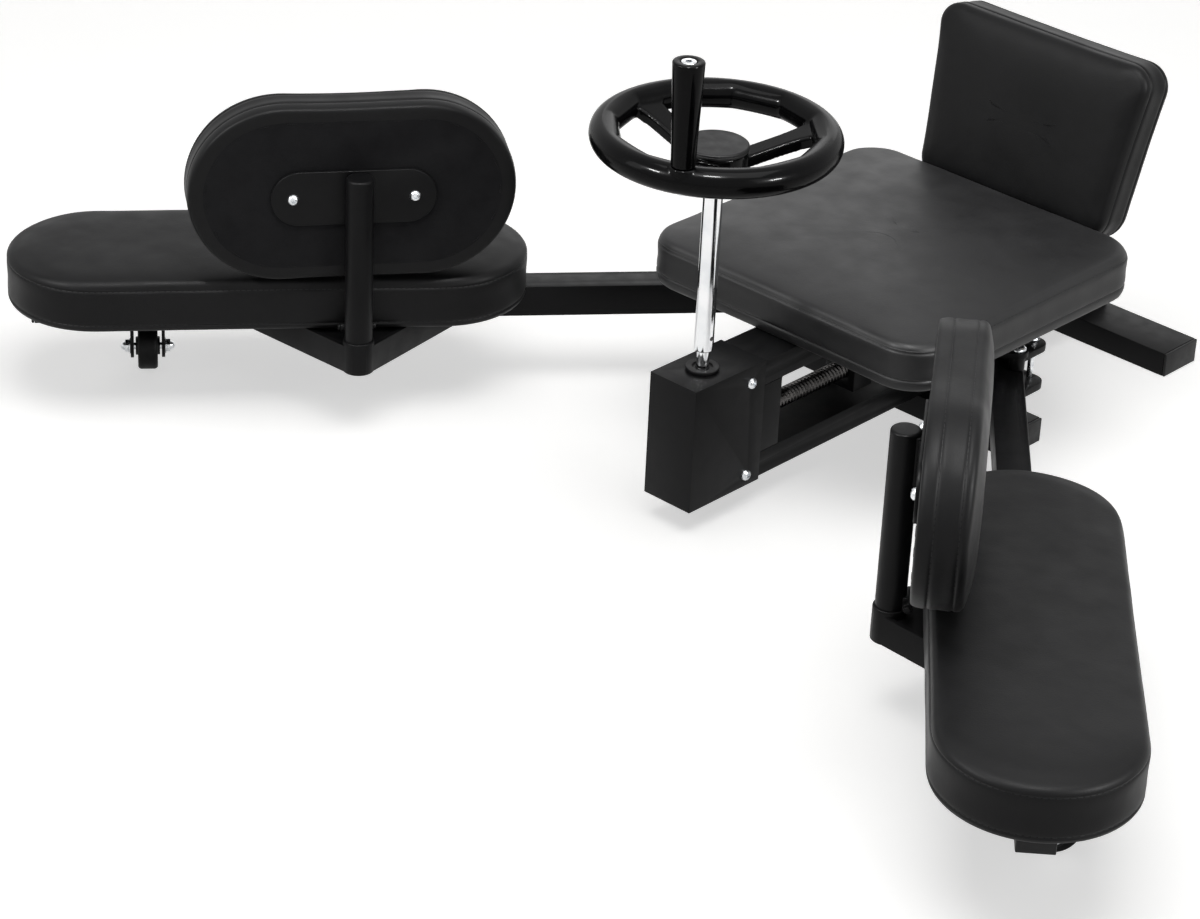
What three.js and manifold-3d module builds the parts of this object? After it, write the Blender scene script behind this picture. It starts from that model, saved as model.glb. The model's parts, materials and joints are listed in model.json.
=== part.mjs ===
// Leg stretching machine: a seat on a low beam, two padded leg arms that swing open, and a
// handwheel that drives them through bevel gears, a lead screw, a nut and two links.
// Units are millimetres. +Z is up, -Y is the front (the gearbox end), +X is the sitter's left.
// The origin is on the floor, midway between the two arm pivots.

import * as THREE from 'three';
import { mergeVertices } from 'three/addons/utils/BufferGeometryUtils.js';
import Module from 'manifold-3d';

const wasm = await Module();
wasm.setup();

// Driving dimensions

const fitGap = 0.3; // gap between pieces that seat on each other
const runningGap = 0.4; // radial gap of a shaft that turns in a bore
const overrun = 5; // how far a cutting tool reaches past what it cuts

const tubeWall = 2;
const railWidth = 58;
const railHeight = 28;
const windowHeight = 78; // open space between the lower and the upper rail
const railFront = 401; // the rails start this far in front of the pivots

const footDepth = 60;
const footHeight = 28;
const rearFootLength = 304;
const middleFootLength = 296;
const rearFootBehind = 286; // the middle of the rear foot, behind the pivots
const capWall = 3;
const capPlug = 12;

const pivotSpacing = 228; // between the two arm pivots
const pivotBoltDiameter = 14;
const pivotPlateLength = 304;
const pivotPlateThickness = 8;
const pivotPlateCorner = 14;
const pivotPlay = 1; // between an arm and each pivot plate
const columnSize = 40;
const spacerBoltDiameter = 7;

const armSize = 35;
const armBottom = 76;
const armReach = 876; // from the pivot to the outer end of the arm
const armAngle = 39.6; // degrees between an arm and straight ahead, at rest

const screwHeight = 86; // the lead screw's axis above the floor
const screwDiameter = 20;
const shaftReach = 360; // the handwheel's axis, in front of the pivots
const gearTeeth = 16;
const gearPitchRadius = 22;
const inputShaftDiameter = 13;

const linkLength = 152;
const linkWidth = 22;
const linkThickness = 6;
const linkPinReach = 51; // the link's pin on the arm, along the arm from the pivot
const linkPinSide = 10; // and out from the arm's middle line
const nutPinSpacing = 60; // between the two link eyes on the nut

const wheelDiameter = 250;
const rimDiameter = 28;
const wheelHeight = 419.5; // the middle of the handwheel's rim above the floor
const shaftTubeDiameter = 20;
const shaftTubeBottom = 187;
const handleLength = 107;
const handleAngle = -65; // degrees from +X, where the handle stands on the rim

const seatWidth = 380;
const seatDepth = 390;
const seatFront = 252; // the seat's front edge, in front of the pivots
const seatCorner = 42;
const seatThickness = 45;
const seatCrown = 8;

const backWidth = 266; // at half height
const backHeight = 205;
const backThickness = 42;
const backCrown = 6;
const backCorner = 20;
const backTilt = 12; // degrees from upright
const backTaper = 0.07; // how much wider the top is than the middle, as a share
const backBottom = 188;

const boardThickness = 12;
const boardInset = 8;

const legPadLength = 554;
const legPadWidth = 185;
const legPadThickness = 48;
const legPadSkirt = 9.8; // how far its side hangs below the arm's top
const legPadCrown = 7;
const legPadMiddle = 627; // the middle of the leg pad, along the arm from the pivot

const uprightPadLength = 343;
const uprightPadHeight = 196;
const uprightPadThickness = 48;
const uprightPadCrown = 6;
const uprightPadAhead = 4; // the upright pad's middle, further along the arm than its post
const uprightPadBottom = 166.5;
const uprightTurn = 3.8; // degrees, how far the post and its pad are turned towards the sitter's legs

const postDiameter = 29;
const postWall = 3;
const postTop = 291;
const postReach = 538.5; // the post's axis, along the arm from the pivot
const postSide = 124; // and in from the arm's middle line
const veeBottom = 70;
const veeBarHeight = 30;
const veeBarThickness = 5;
const veeSpread = 232; // between the two ends of the bar on the arm

const casterDiameter = 51;
const casterWidth = 22;
const casterReach = 758;
const casterSide = 25; // out from the arm's middle line

// Finishes

const blackSteel = new THREE.MeshStandardMaterial({ color: 0x1b1b1c, roughness: 0.5, metalness: 0.3 });
const glossBlack = new THREE.MeshStandardMaterial({ color: 0x0c0c0d, roughness: 0.15 });
const vinyl = new THREE.MeshStandardMaterial({ color: 0x242425, roughness: 0.6 });
const plywood = new THREE.MeshStandardMaterial({ color: 0x9a7a50, roughness: 0.8 });
const chrome = new THREE.MeshStandardMaterial({ color: 0xd8dadc, roughness: 0.1, metalness: 1 });
const bareSteel = new THREE.MeshStandardMaterial({ color: 0x8c8f92, roughness: 0.35, metalness: 1 });
const bronze = new THREE.MeshStandardMaterial({ color: 0x9c7440, roughness: 0.4, metalness: 1 });
const plastic = new THREE.MeshStandardMaterial({ color: 0x141415, roughness: 0.45 });

// Solids

const radians = THREE.MathUtils.degToRad;
const quarterTurn = Math.PI / 2;
const roundSides = 24;
const fineSides = 16;

function toSolid(geometry) {
  const bare = geometry.clone();
  bare.deleteAttribute('normal');
  bare.deleteAttribute('uv');
  const merged = mergeVertices(bare);
  return new wasm.Manifold(new wasm.Mesh({
    numProp: 3,
    vertProperties: new Float32Array(merged.attributes.position.array),
    triVerts: new Uint32Array(merged.index.array),
  }));
}

function toGeometry(solid) {
  const mesh = solid.getMesh();
  const geometry = new THREE.BufferGeometry();
  geometry.setAttribute('position', new THREE.BufferAttribute(new Float32Array(mesh.vertProperties), 3));
  geometry.setIndex(new THREE.BufferAttribute(new Uint32Array(mesh.triVerts), 1));
  geometry.computeVertexNormals();
  return geometry;
}

const cut = (base, ...tools) => toGeometry(
  tools.reduce((solid, tool) => solid.subtract(toSolid(tool)), toSolid(base)),
);
const join = (base, ...others) => toGeometry(
  others.reduce((solid, other) => solid.add(toSolid(other)), toSolid(base)),
);

// A box from its low to its high corner.
function block(low, high) {
  const size = high.map((value, i) => value - low[i]);
  const middle = high.map((value, i) => (value + low[i]) / 2);
  return new THREE.BoxGeometry(...size).translate(...middle);
}

// A round bar along Z, on the axis, from z = low to z = high.
function rod(diameter, low, high, sides = fineSides) {
  const bar = new THREE.CylinderGeometry(diameter / 2, diameter / 2, high - low, sides);
  return bar.rotateX(quarterTurn).translate(0, 0, (low + high) / 2);
}

// A turned piece: the profile is [radius, z] pairs, up the outside.
function turned(profile, sides = roundSides) {
  const points = profile.map(([radius, z]) => new THREE.Vector2(radius, z));
  return new THREE.LatheGeometry(points, sides).rotateX(quarterTurn);
}

const outlineShape = (points) => new THREE.Shape(points.map(([x, y]) => new THREE.Vector2(x, y)));

// A flat piece cut to an outline, from z = 0 to its thickness, with round holes [x, y, diameter].
function plate(points, thickness, holes = []) {
  const shape = outlineShape(points);
  for (const [x, y, diameter] of holes) {
    shape.holes.push(new THREE.Path().absarc(x, y, diameter / 2, 0, 2 * Math.PI, true));
  }
  const options = { depth: thickness, bevelEnabled: false, curveSegments: fineSides / 2 };
  return new THREE.ExtrudeGeometry(shape, options);
}

const toAlongX = (geometry) => geometry.rotateY(quarterTurn);
const toAlongY = (geometry) => geometry.rotateX(-quarterTurn);

// The outline of a rounded rectangle, anticlockwise, with its sides bowed in between the corners.
// inset moves the whole outline inwards. A side with no length is left out.
function roundedOutline(length, width, corner, { inset = 0, bow = 0, cornerSteps = 6, sideSteps = 3 } = {}) {
  const half = [length / 2 - inset, width / 2 - inset];
  const radius = Math.max(corner - inset, fitGap);
  const signs = [[1, 1], [-1, 1], [-1, -1], [1, -1]];
  const points = [];
  signs.forEach(([signX, signY], quarter) => {
    const along = quarter % 2 === 0;
    const before = !along ? length : width;
    const first = before > 2 * corner ? 0 : 1;
    for (let step = first; step <= cornerSteps; step += 1) {
      const angle = (quarter + step / cornerSteps) * quarterTurn;
      points.push([
        signX * (half[0] - radius) + radius * Math.cos(angle),
        signY * (half[1] - radius) + radius * Math.sin(angle),
      ]);
    }
    const reach = 2 * (along ? half[0] - radius : half[1] - radius);
    if ((along ? length : width) <= 2 * corner) return;
    const last = points[points.length - 1];
    for (let step = 1; step < sideSteps; step += 1) {
      const share = step / sideSteps;
      const pull = bow * 4 * share * (1 - share);
      points.push(along
        ? [last[0] - signX * reach * share, last[1] - signY * pull]
        : [last[0] - signX * pull, last[1] - signY * reach * share]);
    }
  });
  return points;
}

// A closed skin over rings that hold the same number of points, capped at both ends.
function skin(rings) {
  const count = rings[0].length;
  const positions = rings.flat(2);
  const index = [];
  for (let r = 0; r + 1 < rings.length; r += 1) {
    for (let i = 0; i < count; i += 1) {
      const a = r * count + i;
      const b = r * count + ((i + 1) % count);
      index.push(a, b, b + count, a, b + count, a + count);
    }
  }
  const middleOf = (ring) => ring.reduce((sum, p) => sum.map((v, k) => v + p[k] / count), [0, 0, 0]);
  const start = positions.length / 3;
  positions.push(...middleOf(rings[0]));
  const end = positions.length / 3;
  positions.push(...middleOf(rings[rings.length - 1]));
  const top = (rings.length - 1) * count;
  for (let i = 0; i < count; i += 1) {
    const next = (i + 1) % count;
    index.push(start, next, i, end, top + i, top + next);
  }
  const geometry = new THREE.BufferGeometry();
  geometry.setAttribute('position', new THREE.Float32BufferAttribute(positions, 3));
  geometry.setIndex(index);
  return geometry;
}

// Upholstery

const cushionEdge = 7; // radius of the rolled top edge
const cushionWaist = 1.5; // how far the side is drawn in between its seams
const cushionBow = 1; // how far a long side is drawn in between its corners
const underEdge = 3; // the rolled under edge
const waistShare = 0.5;
const crownRingShares = [0.35, 0.8];

// A pad with its base on z = 0 and its crown up: drawn-in sides, a rolled edge, a crowned top,
// and, where its board is a piece of its own, a pocket in its base. A skirt hangs below the board.
function cushion({ length, width, corner, thickness, crown, taper = 0, pocketed = true, skirt = 0 }) {
  const shape = { bow: cushionBow };
  const ring = (inset, z) => roundedOutline(length, width, corner, { ...shape, inset })
    .map(([x, y]) => [x, y * (1 + (2 * taper * x) / length), z]);
  const halfWidth = Math.min(length, width) / 2;
  const roll = cushionEdge * (1 - Math.SQRT1_2);
  const crownAt = (share) => thickness + crown * (1 - (1 - share) ** 3);
  const solid = skin([
    ring(underEdge, 0),
    ring(0, underEdge),
    ring(cushionWaist, thickness * waistShare),
    ring(0, thickness - cushionEdge),
    ring(roll, thickness - roll),
    ring(cushionEdge, thickness),
    ...crownRingShares.map((share) => ring(cushionEdge + (halfWidth - cushionEdge) * share, crownAt(share))),
  ]);
  if (!pocketed) return toGeometry(toSolid(solid));
  const pocket = board({ length, width, corner, taper }, fitGap, skirt).translate(0, 0, -overrun);
  return cut(solid, pocket);
}

// The plywood board inside a cushion. With a gap it is the tool that cuts the cushion's pocket.
function board({ length, width, corner, taper = 0 }, gap = 0, skirt = 0) {
  const points = roundedOutline(length, width, corner, { inset: boardInset - gap })
    .map(([x, y]) => [x, y * (1 + (2 * taper * x) / length)]);
  return plate(points, boardThickness + (gap > 0 ? gap + overrun + skirt : 0));
}

// Assembly

const machine = new THREE.Group();

function add(name, geometry, material, parent = machine, position = [0, 0, 0]) {
  const mesh = new THREE.Mesh(geometry, material);
  mesh.name = name;
  mesh.position.set(...position);
  parent.add(mesh);
  return mesh;
}

const sides = [['left', 1], ['right', -1]];

// Heights and places that follow from the driving dimensions

const lowerRailBottom = footHeight + fitGap;
const lowerRailTop = lowerRailBottom + railHeight;
const upperRailBottom = lowerRailTop + windowHeight;
const upperRailTop = upperRailBottom + railHeight;
const armTop = armBottom + armSize;
const lowerPlateTop = armBottom - pivotPlay;
const lowerPlateBottom = lowerPlateTop - pivotPlateThickness;
const upperPlateBottom = armTop + pivotPlay;
const upperPlateTop = upperPlateBottom + pivotPlateThickness;
const linkTop = upperRailBottom - pivotPlay;
const linkBottom = linkTop - linkThickness;
const pivotX = pivotSpacing / 2;

const seatMiddle = seatDepth / 2 - seatFront;
const seatBase = upperRailTop + fitGap;
const backFront = seatDepth - seatFront + pivotPlay;
const tilt = radians(backTilt);
const bracketSeat = backThickness + fitGap;
const bracketFront = backFront + bracketSeat * Math.cos(tilt);
const railRear = bracketFront - fitGap;
const lowerRailRear = rearFootBehind + footDepth / 2;

// A rectangular tube along Z, from z = 0.
function rectangularTube(width, depth, length) {
  const outline = (w, d) => [[w / 2, d / 2], [-w / 2, d / 2], [-w / 2, -d / 2], [w / 2, -d / 2]];
  const shape = outlineShape(outline(width, depth));
  shape.holes.push(outlineShape(outline(width - 2 * tubeWall, depth - 2 * tubeWall)));
  return new THREE.ExtrudeGeometry(shape, { depth: length, bevelEnabled: false });
}

// Beam

const coverBoltDiameter = 7;
const coverBoltBehind = 21.5; // from the cover's rear edge
const coverBoltShare = 0.4; // height of each cover bolt in its rail, from the rail's underside
const coverWall = 1.8;
const coverRear = 297;
const uprightFront = coverRear;
const uprightDepth = 30;
const bearingBore = 20;
const bearingFlange = 34;
const bearingFlangeHeight = 3.5;
const bearingMouth = 21;
const bearingMouthDepth = 2;
const coverGap = fitGap;

const coverTop = upperRailTop + coverGap + coverWall;
const boltBehind = -coverRear - coverBoltBehind;
const upperBoltHeight = upperRailBottom + railHeight * coverBoltShare;
const lowerBoltHeight = lowerRailBottom + railHeight * coverBoltShare;
const coverHalf = railWidth / 2 + coverGap + coverWall;

const crossHole = (diameter, y, z) => toAlongX(rod(diameter, -railWidth, railWidth)).translate(0, y, z);
const shaftHole = (diameter, low, high) => rod(diameter, low, high).translate(0, -shaftReach, 0);

function rail(front, rear, bottom, boltHeight) {
  const tube = rectangularTube(railWidth, railHeight, front + rear).rotateX(-quarterTurn);
  tube.translate(0, -front, bottom + railHeight / 2);
  return cut(tube, crossHole(coverBoltDiameter + 2 * fitGap, boltBehind, boltHeight));
}

add('lower_rail', rail(railFront, lowerRailRear, lowerRailBottom, lowerBoltHeight), blackSteel);
add('upper_rail', cut(
  rail(railFront, railRear, upperRailBottom, upperBoltHeight),
  shaftHole(bearingBore + 2 * fitGap, upperRailBottom - overrun, upperRailTop + overrun),
), blackSteel);

const screwBearingBore = 16;
const screwBearingOuter = 26;
const screwBearingFlange = 34;
const screwFlangeThickness = 3;
const screwBore = (diameter, front, rear) => toAlongY(rod(diameter, -front, -rear))
  .translate(0, 0, screwHeight);

add('front_upright', cut(
  block(
    [-railWidth / 2, -uprightFront, lowerRailTop + fitGap],
    [railWidth / 2, uprightDepth - uprightFront, upperRailBottom - fitGap],
  ),
  screwBore(screwBearingOuter + 2 * fitGap, uprightFront + overrun, uprightFront - uprightDepth - overrun),
), blackSteel);

add('screw_bearing', toAlongY(turned([
  [screwBearingBore / 2 + runningGap, -screwFlangeThickness],
  [screwBearingFlange / 2, -screwFlangeThickness],
  [screwBearingFlange / 2, 0],
  [screwBearingOuter / 2, 0],
  [screwBearingOuter / 2, uprightDepth],
  [screwBearingBore / 2 + runningGap, uprightDepth],
  [screwBearingBore / 2 + runningGap, -screwFlangeThickness],
])), bronze, machine, [0, -uprightFront - fitGap, screwHeight]);

const coverFront = railFront + coverGap + coverWall;
add('gearbox_cover', cut(
  block([-coverHalf, -coverFront, lowerRailBottom - coverGap - coverWall], [coverHalf, -coverRear, coverTop]),
  block(
    [coverWall - coverHalf, coverWall - coverFront, lowerRailBottom - coverGap],
    [coverHalf - coverWall, overrun - coverRear, upperRailTop + coverGap],
  ),
  crossHole(coverBoltDiameter + 2 * fitGap, boltBehind, upperBoltHeight),
  crossHole(coverBoltDiameter + 2 * fitGap, boltBehind, lowerBoltHeight),
  shaftHole(bearingBore + 2 * fitGap, upperRailTop, coverTop + overrun),
), blackSteel);

// A bolt along Z with a domed head above z = length and a domed nut below z = 0.
const domeWidthShare = 1.7; // a domed head across, in shank diameters
const domeHeightShare = 0.55;
function domedBolt(diameter, length) {
  const across = diameter * domeWidthShare;
  const rise = diameter * domeHeightShare;
  const dome = [[1, 0], [0.9, 0.45], [0.6, 0.85], [0, 1]];
  const head = dome.map(([r, h]) => [(r * across) / 2, length + h * rise]);
  const nut = dome.map(([r, h]) => [(r * across) / 2, -h * rise]).reverse();
  return turned([...nut, [diameter / 2, 0], [diameter / 2, length], ...head], fineSides);
}

const coverBolt = () => toAlongX(domedBolt(coverBoltDiameter, 2 * coverHalf + 2 * fitGap))
  .translate(-coverHalf - fitGap, 0, 0);
add('cover_bolt_upper', coverBolt(), chrome, machine, [0, boltBehind, upperBoltHeight]);
add('cover_bolt_lower', coverBolt(), chrome, machine, [0, boltBehind, lowerBoltHeight]);

const flangeLow = coverTop + fitGap;
const flangeHigh = flangeLow + bearingFlangeHeight;
add('shaft_bearing', turned([
  [inputShaftDiameter / 2 + runningGap, upperRailBottom],
  [bearingBore / 2, upperRailBottom],
  [bearingBore / 2, flangeLow],
  [bearingFlange / 2, flangeLow],
  [bearingFlange / 2, flangeHigh],
  [bearingMouth / 2, flangeHigh],
  [bearingMouth / 2, flangeHigh - bearingMouthDepth],
  [inputShaftDiameter / 2 + runningGap, flangeHigh - bearingMouthDepth],
  [inputShaftDiameter / 2 + runningGap, upperRailBottom],
]), plastic, machine, [0, -shaftReach, 0]);

// Feet

function foot(name, length, middleY) {
  const tube = toAlongX(rectangularTube(footHeight, footDepth, length));
  tube.translate(-length / 2, middleY, footHeight / 2);
  add(name, tube, blackSteel);
  for (const [side, sign] of sides) {
    const inner = 2 * (tubeWall + fitGap);
    const face = block([0, -footDepth / 2, 0], [capWall, footDepth / 2, footHeight]);
    const plug = block(
      [-capPlug, inner / 2 - footDepth / 2, inner / 2],
      [capWall / 2, footDepth / 2 - inner / 2, footHeight - inner / 2],
    );
    const cap = join(face, plug);
    if (sign < 0) cap.rotateZ(Math.PI);
    add(`${name}_cap_${side}`, cap, plastic, machine, [sign * (length / 2 + fitGap), middleY, 0]);
  }
}

foot('rear_foot', rearFootLength, rearFootBehind);
foot('middle_foot', middleFootLength, 0);

// Pivot plates, column and bolts

const spacerInset = 18; // from the plate's outer end to the spacer bolt
const spacerBehind = 22;
const spacerX = pivotPlateLength / 2 - spacerInset;

function pivotPlate(bottom) {
  const steps = { cornerSteps: 5, sideSteps: 1 };
  const outline = roundedOutline(pivotPlateLength, footDepth, pivotPlateCorner, steps);
  const holes = sides.flatMap(([, sign]) => [
    [sign * pivotX, 0, pivotBoltDiameter + 2 * fitGap],
    [sign * spacerX, spacerBehind, spacerBoltDiameter + 2 * fitGap],
  ]);
  const slotHalf = columnSize / 2 + fitGap;
  const slot = block(
    [-slotHalf, -slotHalf, -overrun],
    [slotHalf, slotHalf, pivotPlateThickness + overrun],
  );
  return cut(plate(outline, pivotPlateThickness, holes), slot).translate(0, 0, bottom);
}

add('pivot_plate_lower', pivotPlate(lowerPlateBottom), blackSteel);
add('pivot_plate_upper', pivotPlate(upperPlateBottom), blackSteel);

const screwTailDiameter = 14;
const screwTailLength = 18;
add('pivot_column', cut(
  block(
    [-columnSize / 2, -columnSize / 2, lowerRailTop + fitGap],
    [columnSize / 2, columnSize / 2, upperRailBottom - fitGap],
  ),
  screwBore(
    screwTailDiameter + 2 * runningGap,
    columnSize / 2 + overrun,
    columnSize / 2 - screwTailLength - fitGap,
  ),
), blackSteel);

// A bolt down through both pivot plates, with a washer and a hexagon head on the upper one.
const washerHeight = 1.5;
const hexHeadHeight = 4.5;
const boltTailLength = 9;
const headAcrossShare = 1.7;
const washerAcrossShare = 2.1;
function plateBolt(diameter) {
  const shank = rod(diameter, lowerPlateBottom - boltTailLength, upperPlateTop + washerHeight, fineSides);
  const washerLow = upperPlateTop + fitGap;
  const washer = rod(diameter * washerAcrossShare, washerLow, washerLow + washerHeight, fineSides);
  const headLow = washerLow + washerHeight;
  const head = rod(diameter * headAcrossShare, headLow - washerHeight / 2, headLow + hexHeadHeight, 6);
  return join(shank, washer, head);
}

for (const [side, sign] of sides) {
  add(`pivot_bolt_${side}`, plateBolt(pivotBoltDiameter), chrome, machine, [sign * pivotX, 0, 0]);
  const place = [sign * spacerX, spacerBehind, 0];
  add(`spacer_bolt_${side}`, plateBolt(spacerBoltDiameter), chrome, machine, place);
}

// Seat and backrest

const seatSize = { length: seatDepth, width: seatWidth, corner: seatCorner };
const seat = new THREE.Group();
seat.position.set(0, seatMiddle, seatBase);
seat.rotation.z = quarterTurn;
machine.add(seat);
add('seat_board', board(seatSize), plywood, seat);
add('seat_cushion', cushion({ ...seatSize, thickness: seatThickness, crown: seatCrown }), vinyl, seat);

// The backrest's own frame: z up its face, y through it, from the foot of its front face.
const backSize = { length: backHeight, width: backWidth, corner: backCorner, taper: backTaper };
const back = new THREE.Group();
back.position.set(0, backFront, backBottom);
back.rotation.x = -tilt;
machine.add(back);
const backPad = new THREE.Group();
backPad.position.set(0, backThickness, backHeight / 2);
backPad.rotation.set(0, -quarterTurn, quarterTurn, 'ZXY');
back.add(backPad);
add('backrest_board', board(backSize), plywood, backPad);
add('backrest_cushion', cushion({ ...backSize, thickness: backThickness, crown: backCrown }), vinyl, backPad);

// The bracket is one flat bar, up the rail's end and bent back along the board.
const bracketWidth = 50;
const bracketThickness = 6;
const bracketRise = 140; // up the board, past the bend
const bendHeight = backBottom - bracketSeat * Math.sin(tilt);
const bracketProfile = [
  [bracketFront, upperRailBottom],
  [bracketFront + bracketThickness, upperRailBottom],
  [bracketFront + bracketThickness, bendHeight - bracketThickness * Math.tan(tilt / 2)],
  [
    bracketFront + bracketRise * Math.sin(tilt) + bracketThickness * Math.cos(tilt),
    bendHeight + bracketRise * Math.cos(tilt) - bracketThickness * Math.sin(tilt),
  ],
  [bracketFront + bracketRise * Math.sin(tilt), bendHeight + bracketRise * Math.cos(tilt)],
  [bracketFront, bendHeight],
];
const bracket = plate(bracketProfile, bracketWidth);
bracket.applyMatrix4(new THREE.Matrix4().makeBasis(
  new THREE.Vector3(0, 1, 0),
  new THREE.Vector3(0, 0, 1),
  new THREE.Vector3(1, 0, 0),
)).translate(-bracketWidth / 2, 0, 0);
add('backrest_bracket', bracket, blackSteel);

// Drive: bevel gears, input shaft, handwheel

const toothTipShare = 0.13; // half a tooth's width at its tip, as a share of the pitch
const toothRootShare = 0.29;
const addendumShare = 0.09; // of the pitch radius
const dedendumShare = 0.13;
const gearToeShare = 0.62; // the teeth's inner ends, as a share of the distance to the cone's tip
const gearBack = 6;
const gearHubDiameter = 28;
const gearHub = 12;

// A straight bevel gear with its cone's tip at the origin and its back up the +Z axis.
function bevelGear(bore, turn) {
  const pitch = (2 * Math.PI) / gearTeeth;
  const tip = gearPitchRadius * (1 + addendumShare);
  const root = gearPitchRadius * (1 - dedendumShare);
  const half = [[root, -toothRootShare], [tip, -toothTipShare]];
  const tooth = [...half, ...half.map(([radius, share]) => [radius, -share]).reverse()];
  const section = (scale) => {
    const points = [];
    for (let i = 0; i < gearTeeth; i += 1) {
      for (const [radius, share] of tooth) {
        const angle = (i + share + turn) * pitch;
        const point = [radius * Math.cos(angle), radius * Math.sin(angle), gearPitchRadius];
        points.push(point.map((value) => value * scale));
      }
    }
    return points;
  };
  const backFace = section(1).map(([x, y, z]) => [x, y, z + gearBack]);
  const teeth = skin([section(gearToeShare), section(1), backFace]);
  const hub = rod(gearHubDiameter, gearPitchRadius + gearBack / 2, gearPitchRadius + gearBack + gearHub);
  return cut(join(teeth, hub), rod(bore, 0, gearPitchRadius + gearBack + gearHub + overrun));
}

const shaftEnd = screwHeight + gearToeShare * gearPitchRadius;
const shaftOverlap = 45; // how far the input shaft reaches up into its tube
const crossPinDiameter = 4;
const crossPinRise = 15; // above the tube's lower end
const pinHeight = shaftTubeBottom + crossPinRise;
const pinHole = () => toAlongX(rod(crossPinDiameter + 2 * fitGap, -shaftTubeDiameter, shaftTubeDiameter))
  .translate(0, 0, pinHeight);

const hubDiameter = 42;
const hubCapDiameter = 50;
const hubCapHeight = 7;
const hubDrop = 5; // the hub's top below the middle of the rim
const hubHeight = 28;
const hubTop = wheelHeight - hubDrop;
const hubBottom = hubTop - hubHeight;
const tubeTop = hubTop - hubCapHeight;

const drive = new THREE.Group();
drive.position.set(0, -shaftReach, 0);
machine.add(drive);

add('input_bevel_gear', bevelGear(inputShaftDiameter + 2 * fitGap, 0), bareSteel, drive, [0, 0, screwHeight]);
add('input_shaft', cut(
  rod(inputShaftDiameter, shaftEnd, shaftTubeBottom + shaftOverlap),
  pinHole(),
), chrome, drive);
add('shaft_tube', cut(
  rod(shaftTubeDiameter, shaftTubeBottom, tubeTop, roundSides),
  rod(inputShaftDiameter + 2 * fitGap, shaftTubeBottom - overrun, shaftTubeBottom + shaftOverlap + fitGap),
  pinHole(),
), chrome, drive);
add('cross_pin', toAlongX(rod(crossPinDiameter, -shaftTubeDiameter / 2, shaftTubeDiameter / 2)), bareSteel,
  drive, [0, 0, pinHeight]);

// The handwheel's rim is a ring whose inner side is scalloped for the fingers.
const gripCount = 12;
const gripDepth = 3.5;
const rimSteps = 72;
const rimSides = 10;
const spokeCount = 3;
const spokeWidth = 22;
const spokeHeight = 15;
const spokeEdge = 3; // the bevel along a spoke's upper edges
const spokeRise = 12; // the outer end of a spoke above its inner end
const flareStartShare = 0.74;
const spokeFlareShare = 1.5;

function handwheel() {
  const rimRadius = (wheelDiameter - rimDiameter) / 2;
  const rings = [];
  for (let i = 0; i < rimSteps; i += 1) {
    const around = (i / rimSteps) * 2 * Math.PI;
    const wave = Math.abs(Math.sin((around * gripCount) / 2));
    const ring = [];
    for (let j = 0; j < rimSides; j += 1) {
      const angle = (j / rimSides) * 2 * Math.PI;
      const inward = Math.max(0, -Math.cos(angle));
      const out = rimRadius + (rimDiameter / 2) * Math.cos(angle) + gripDepth * inward * (wave - 1);
      ring.push([out * Math.cos(around), out * Math.sin(around), (rimDiameter / 2) * Math.sin(angle)]);
    }
    rings.push(ring);
  }
  const rim = loop(rings);
  const section = (share, width) => {
    const top = hubTop - wheelHeight - hubCapHeight / 2 + spokeRise * share;
    const half = width / 2;
    const flank = [[half, top - spokeHeight], [half, top - spokeEdge], [half - spokeEdge, top]];
    const mirrored = flank.map(([y, z]) => [-y, z]).reverse();
    return [...flank, ...mirrored].map(([y, z]) => [rimRadius * share, y, z]);
  };
  const spokes = [];
  for (let i = 0; i < spokeCount; i += 1) {
    const bar = skin([
      section(0, spokeWidth),
      section(flareStartShare, spokeWidth),
      section(1, spokeWidth * spokeFlareShare),
    ]);
    spokes.push(bar.rotateZ(radians(handleAngle) + (i / spokeCount) * 2 * Math.PI));
  }
  const hub = turned([
    [0, hubBottom - wheelHeight],
    [hubDiameter / 2, hubBottom - wheelHeight],
    [hubDiameter / 2, hubTop - wheelHeight - hubCapHeight],
    [hubCapDiameter / 2, hubTop - wheelHeight - hubCapHeight],
    [hubCapDiameter / 2, hubTop - wheelHeight - hubCapHeight / 2],
    [hubCapDiameter / 2 - hubCapHeight / 2, hubTop - wheelHeight],
    [0, hubTop - wheelHeight],
  ], fineSides + 8);
  const bore = rod(shaftTubeDiameter + 2 * fitGap, hubBottom - overrun, tubeTop + fitGap)
    .translate(0, 0, -wheelHeight);
  const boltHole = rod(handleBoltDiameter + 2 * fitGap, -rimDiameter, rimDiameter);
  boltHole.translate(handleX, handleY, 0);
  return cut(join(rim, ...spokes, hub), bore, boltHole);
}

// A closed ring of sections.
function loop(rings) {
  const count = rings[0].length;
  const index = [];
  rings.forEach((ring, r) => {
    const next = (r + 1) % rings.length;
    for (let i = 0; i < count; i += 1) {
      const j = (i + 1) % count;
      const corners = [r * count + i, next * count + i, next * count + j, r * count + j];
      index.push(...[0, 1, 2, 0, 2, 3].map((k) => corners[k]));
    }
  });
  const geometry = new THREE.BufferGeometry();
  geometry.setAttribute('position', new THREE.Float32BufferAttribute(rings.flat(2), 3));
  geometry.setIndex(index);
  return geometry;
}

const handleBoltDiameter = 8;
const handleRadius = (wheelDiameter - rimDiameter) / 2;
const handleX = handleRadius * Math.cos(radians(handleAngle));
const handleY = handleRadius * Math.sin(radians(handleAngle));
add('handwheel', handwheel(), glossBlack, drive, [0, 0, wheelHeight]);

const handleTopDiameter = 31.5;
const handleBottomDiameter = 24;
const handleRecess = 9;
const handleHeadDiameter = 15;
const handleRound = 3;
const handleBottom = wheelHeight + rimDiameter / 2 + fitGap;
const boltBelow = 9; // the bolt's nut stands this far into the rim's underside
const hexSocketShare = 0.55;

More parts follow.
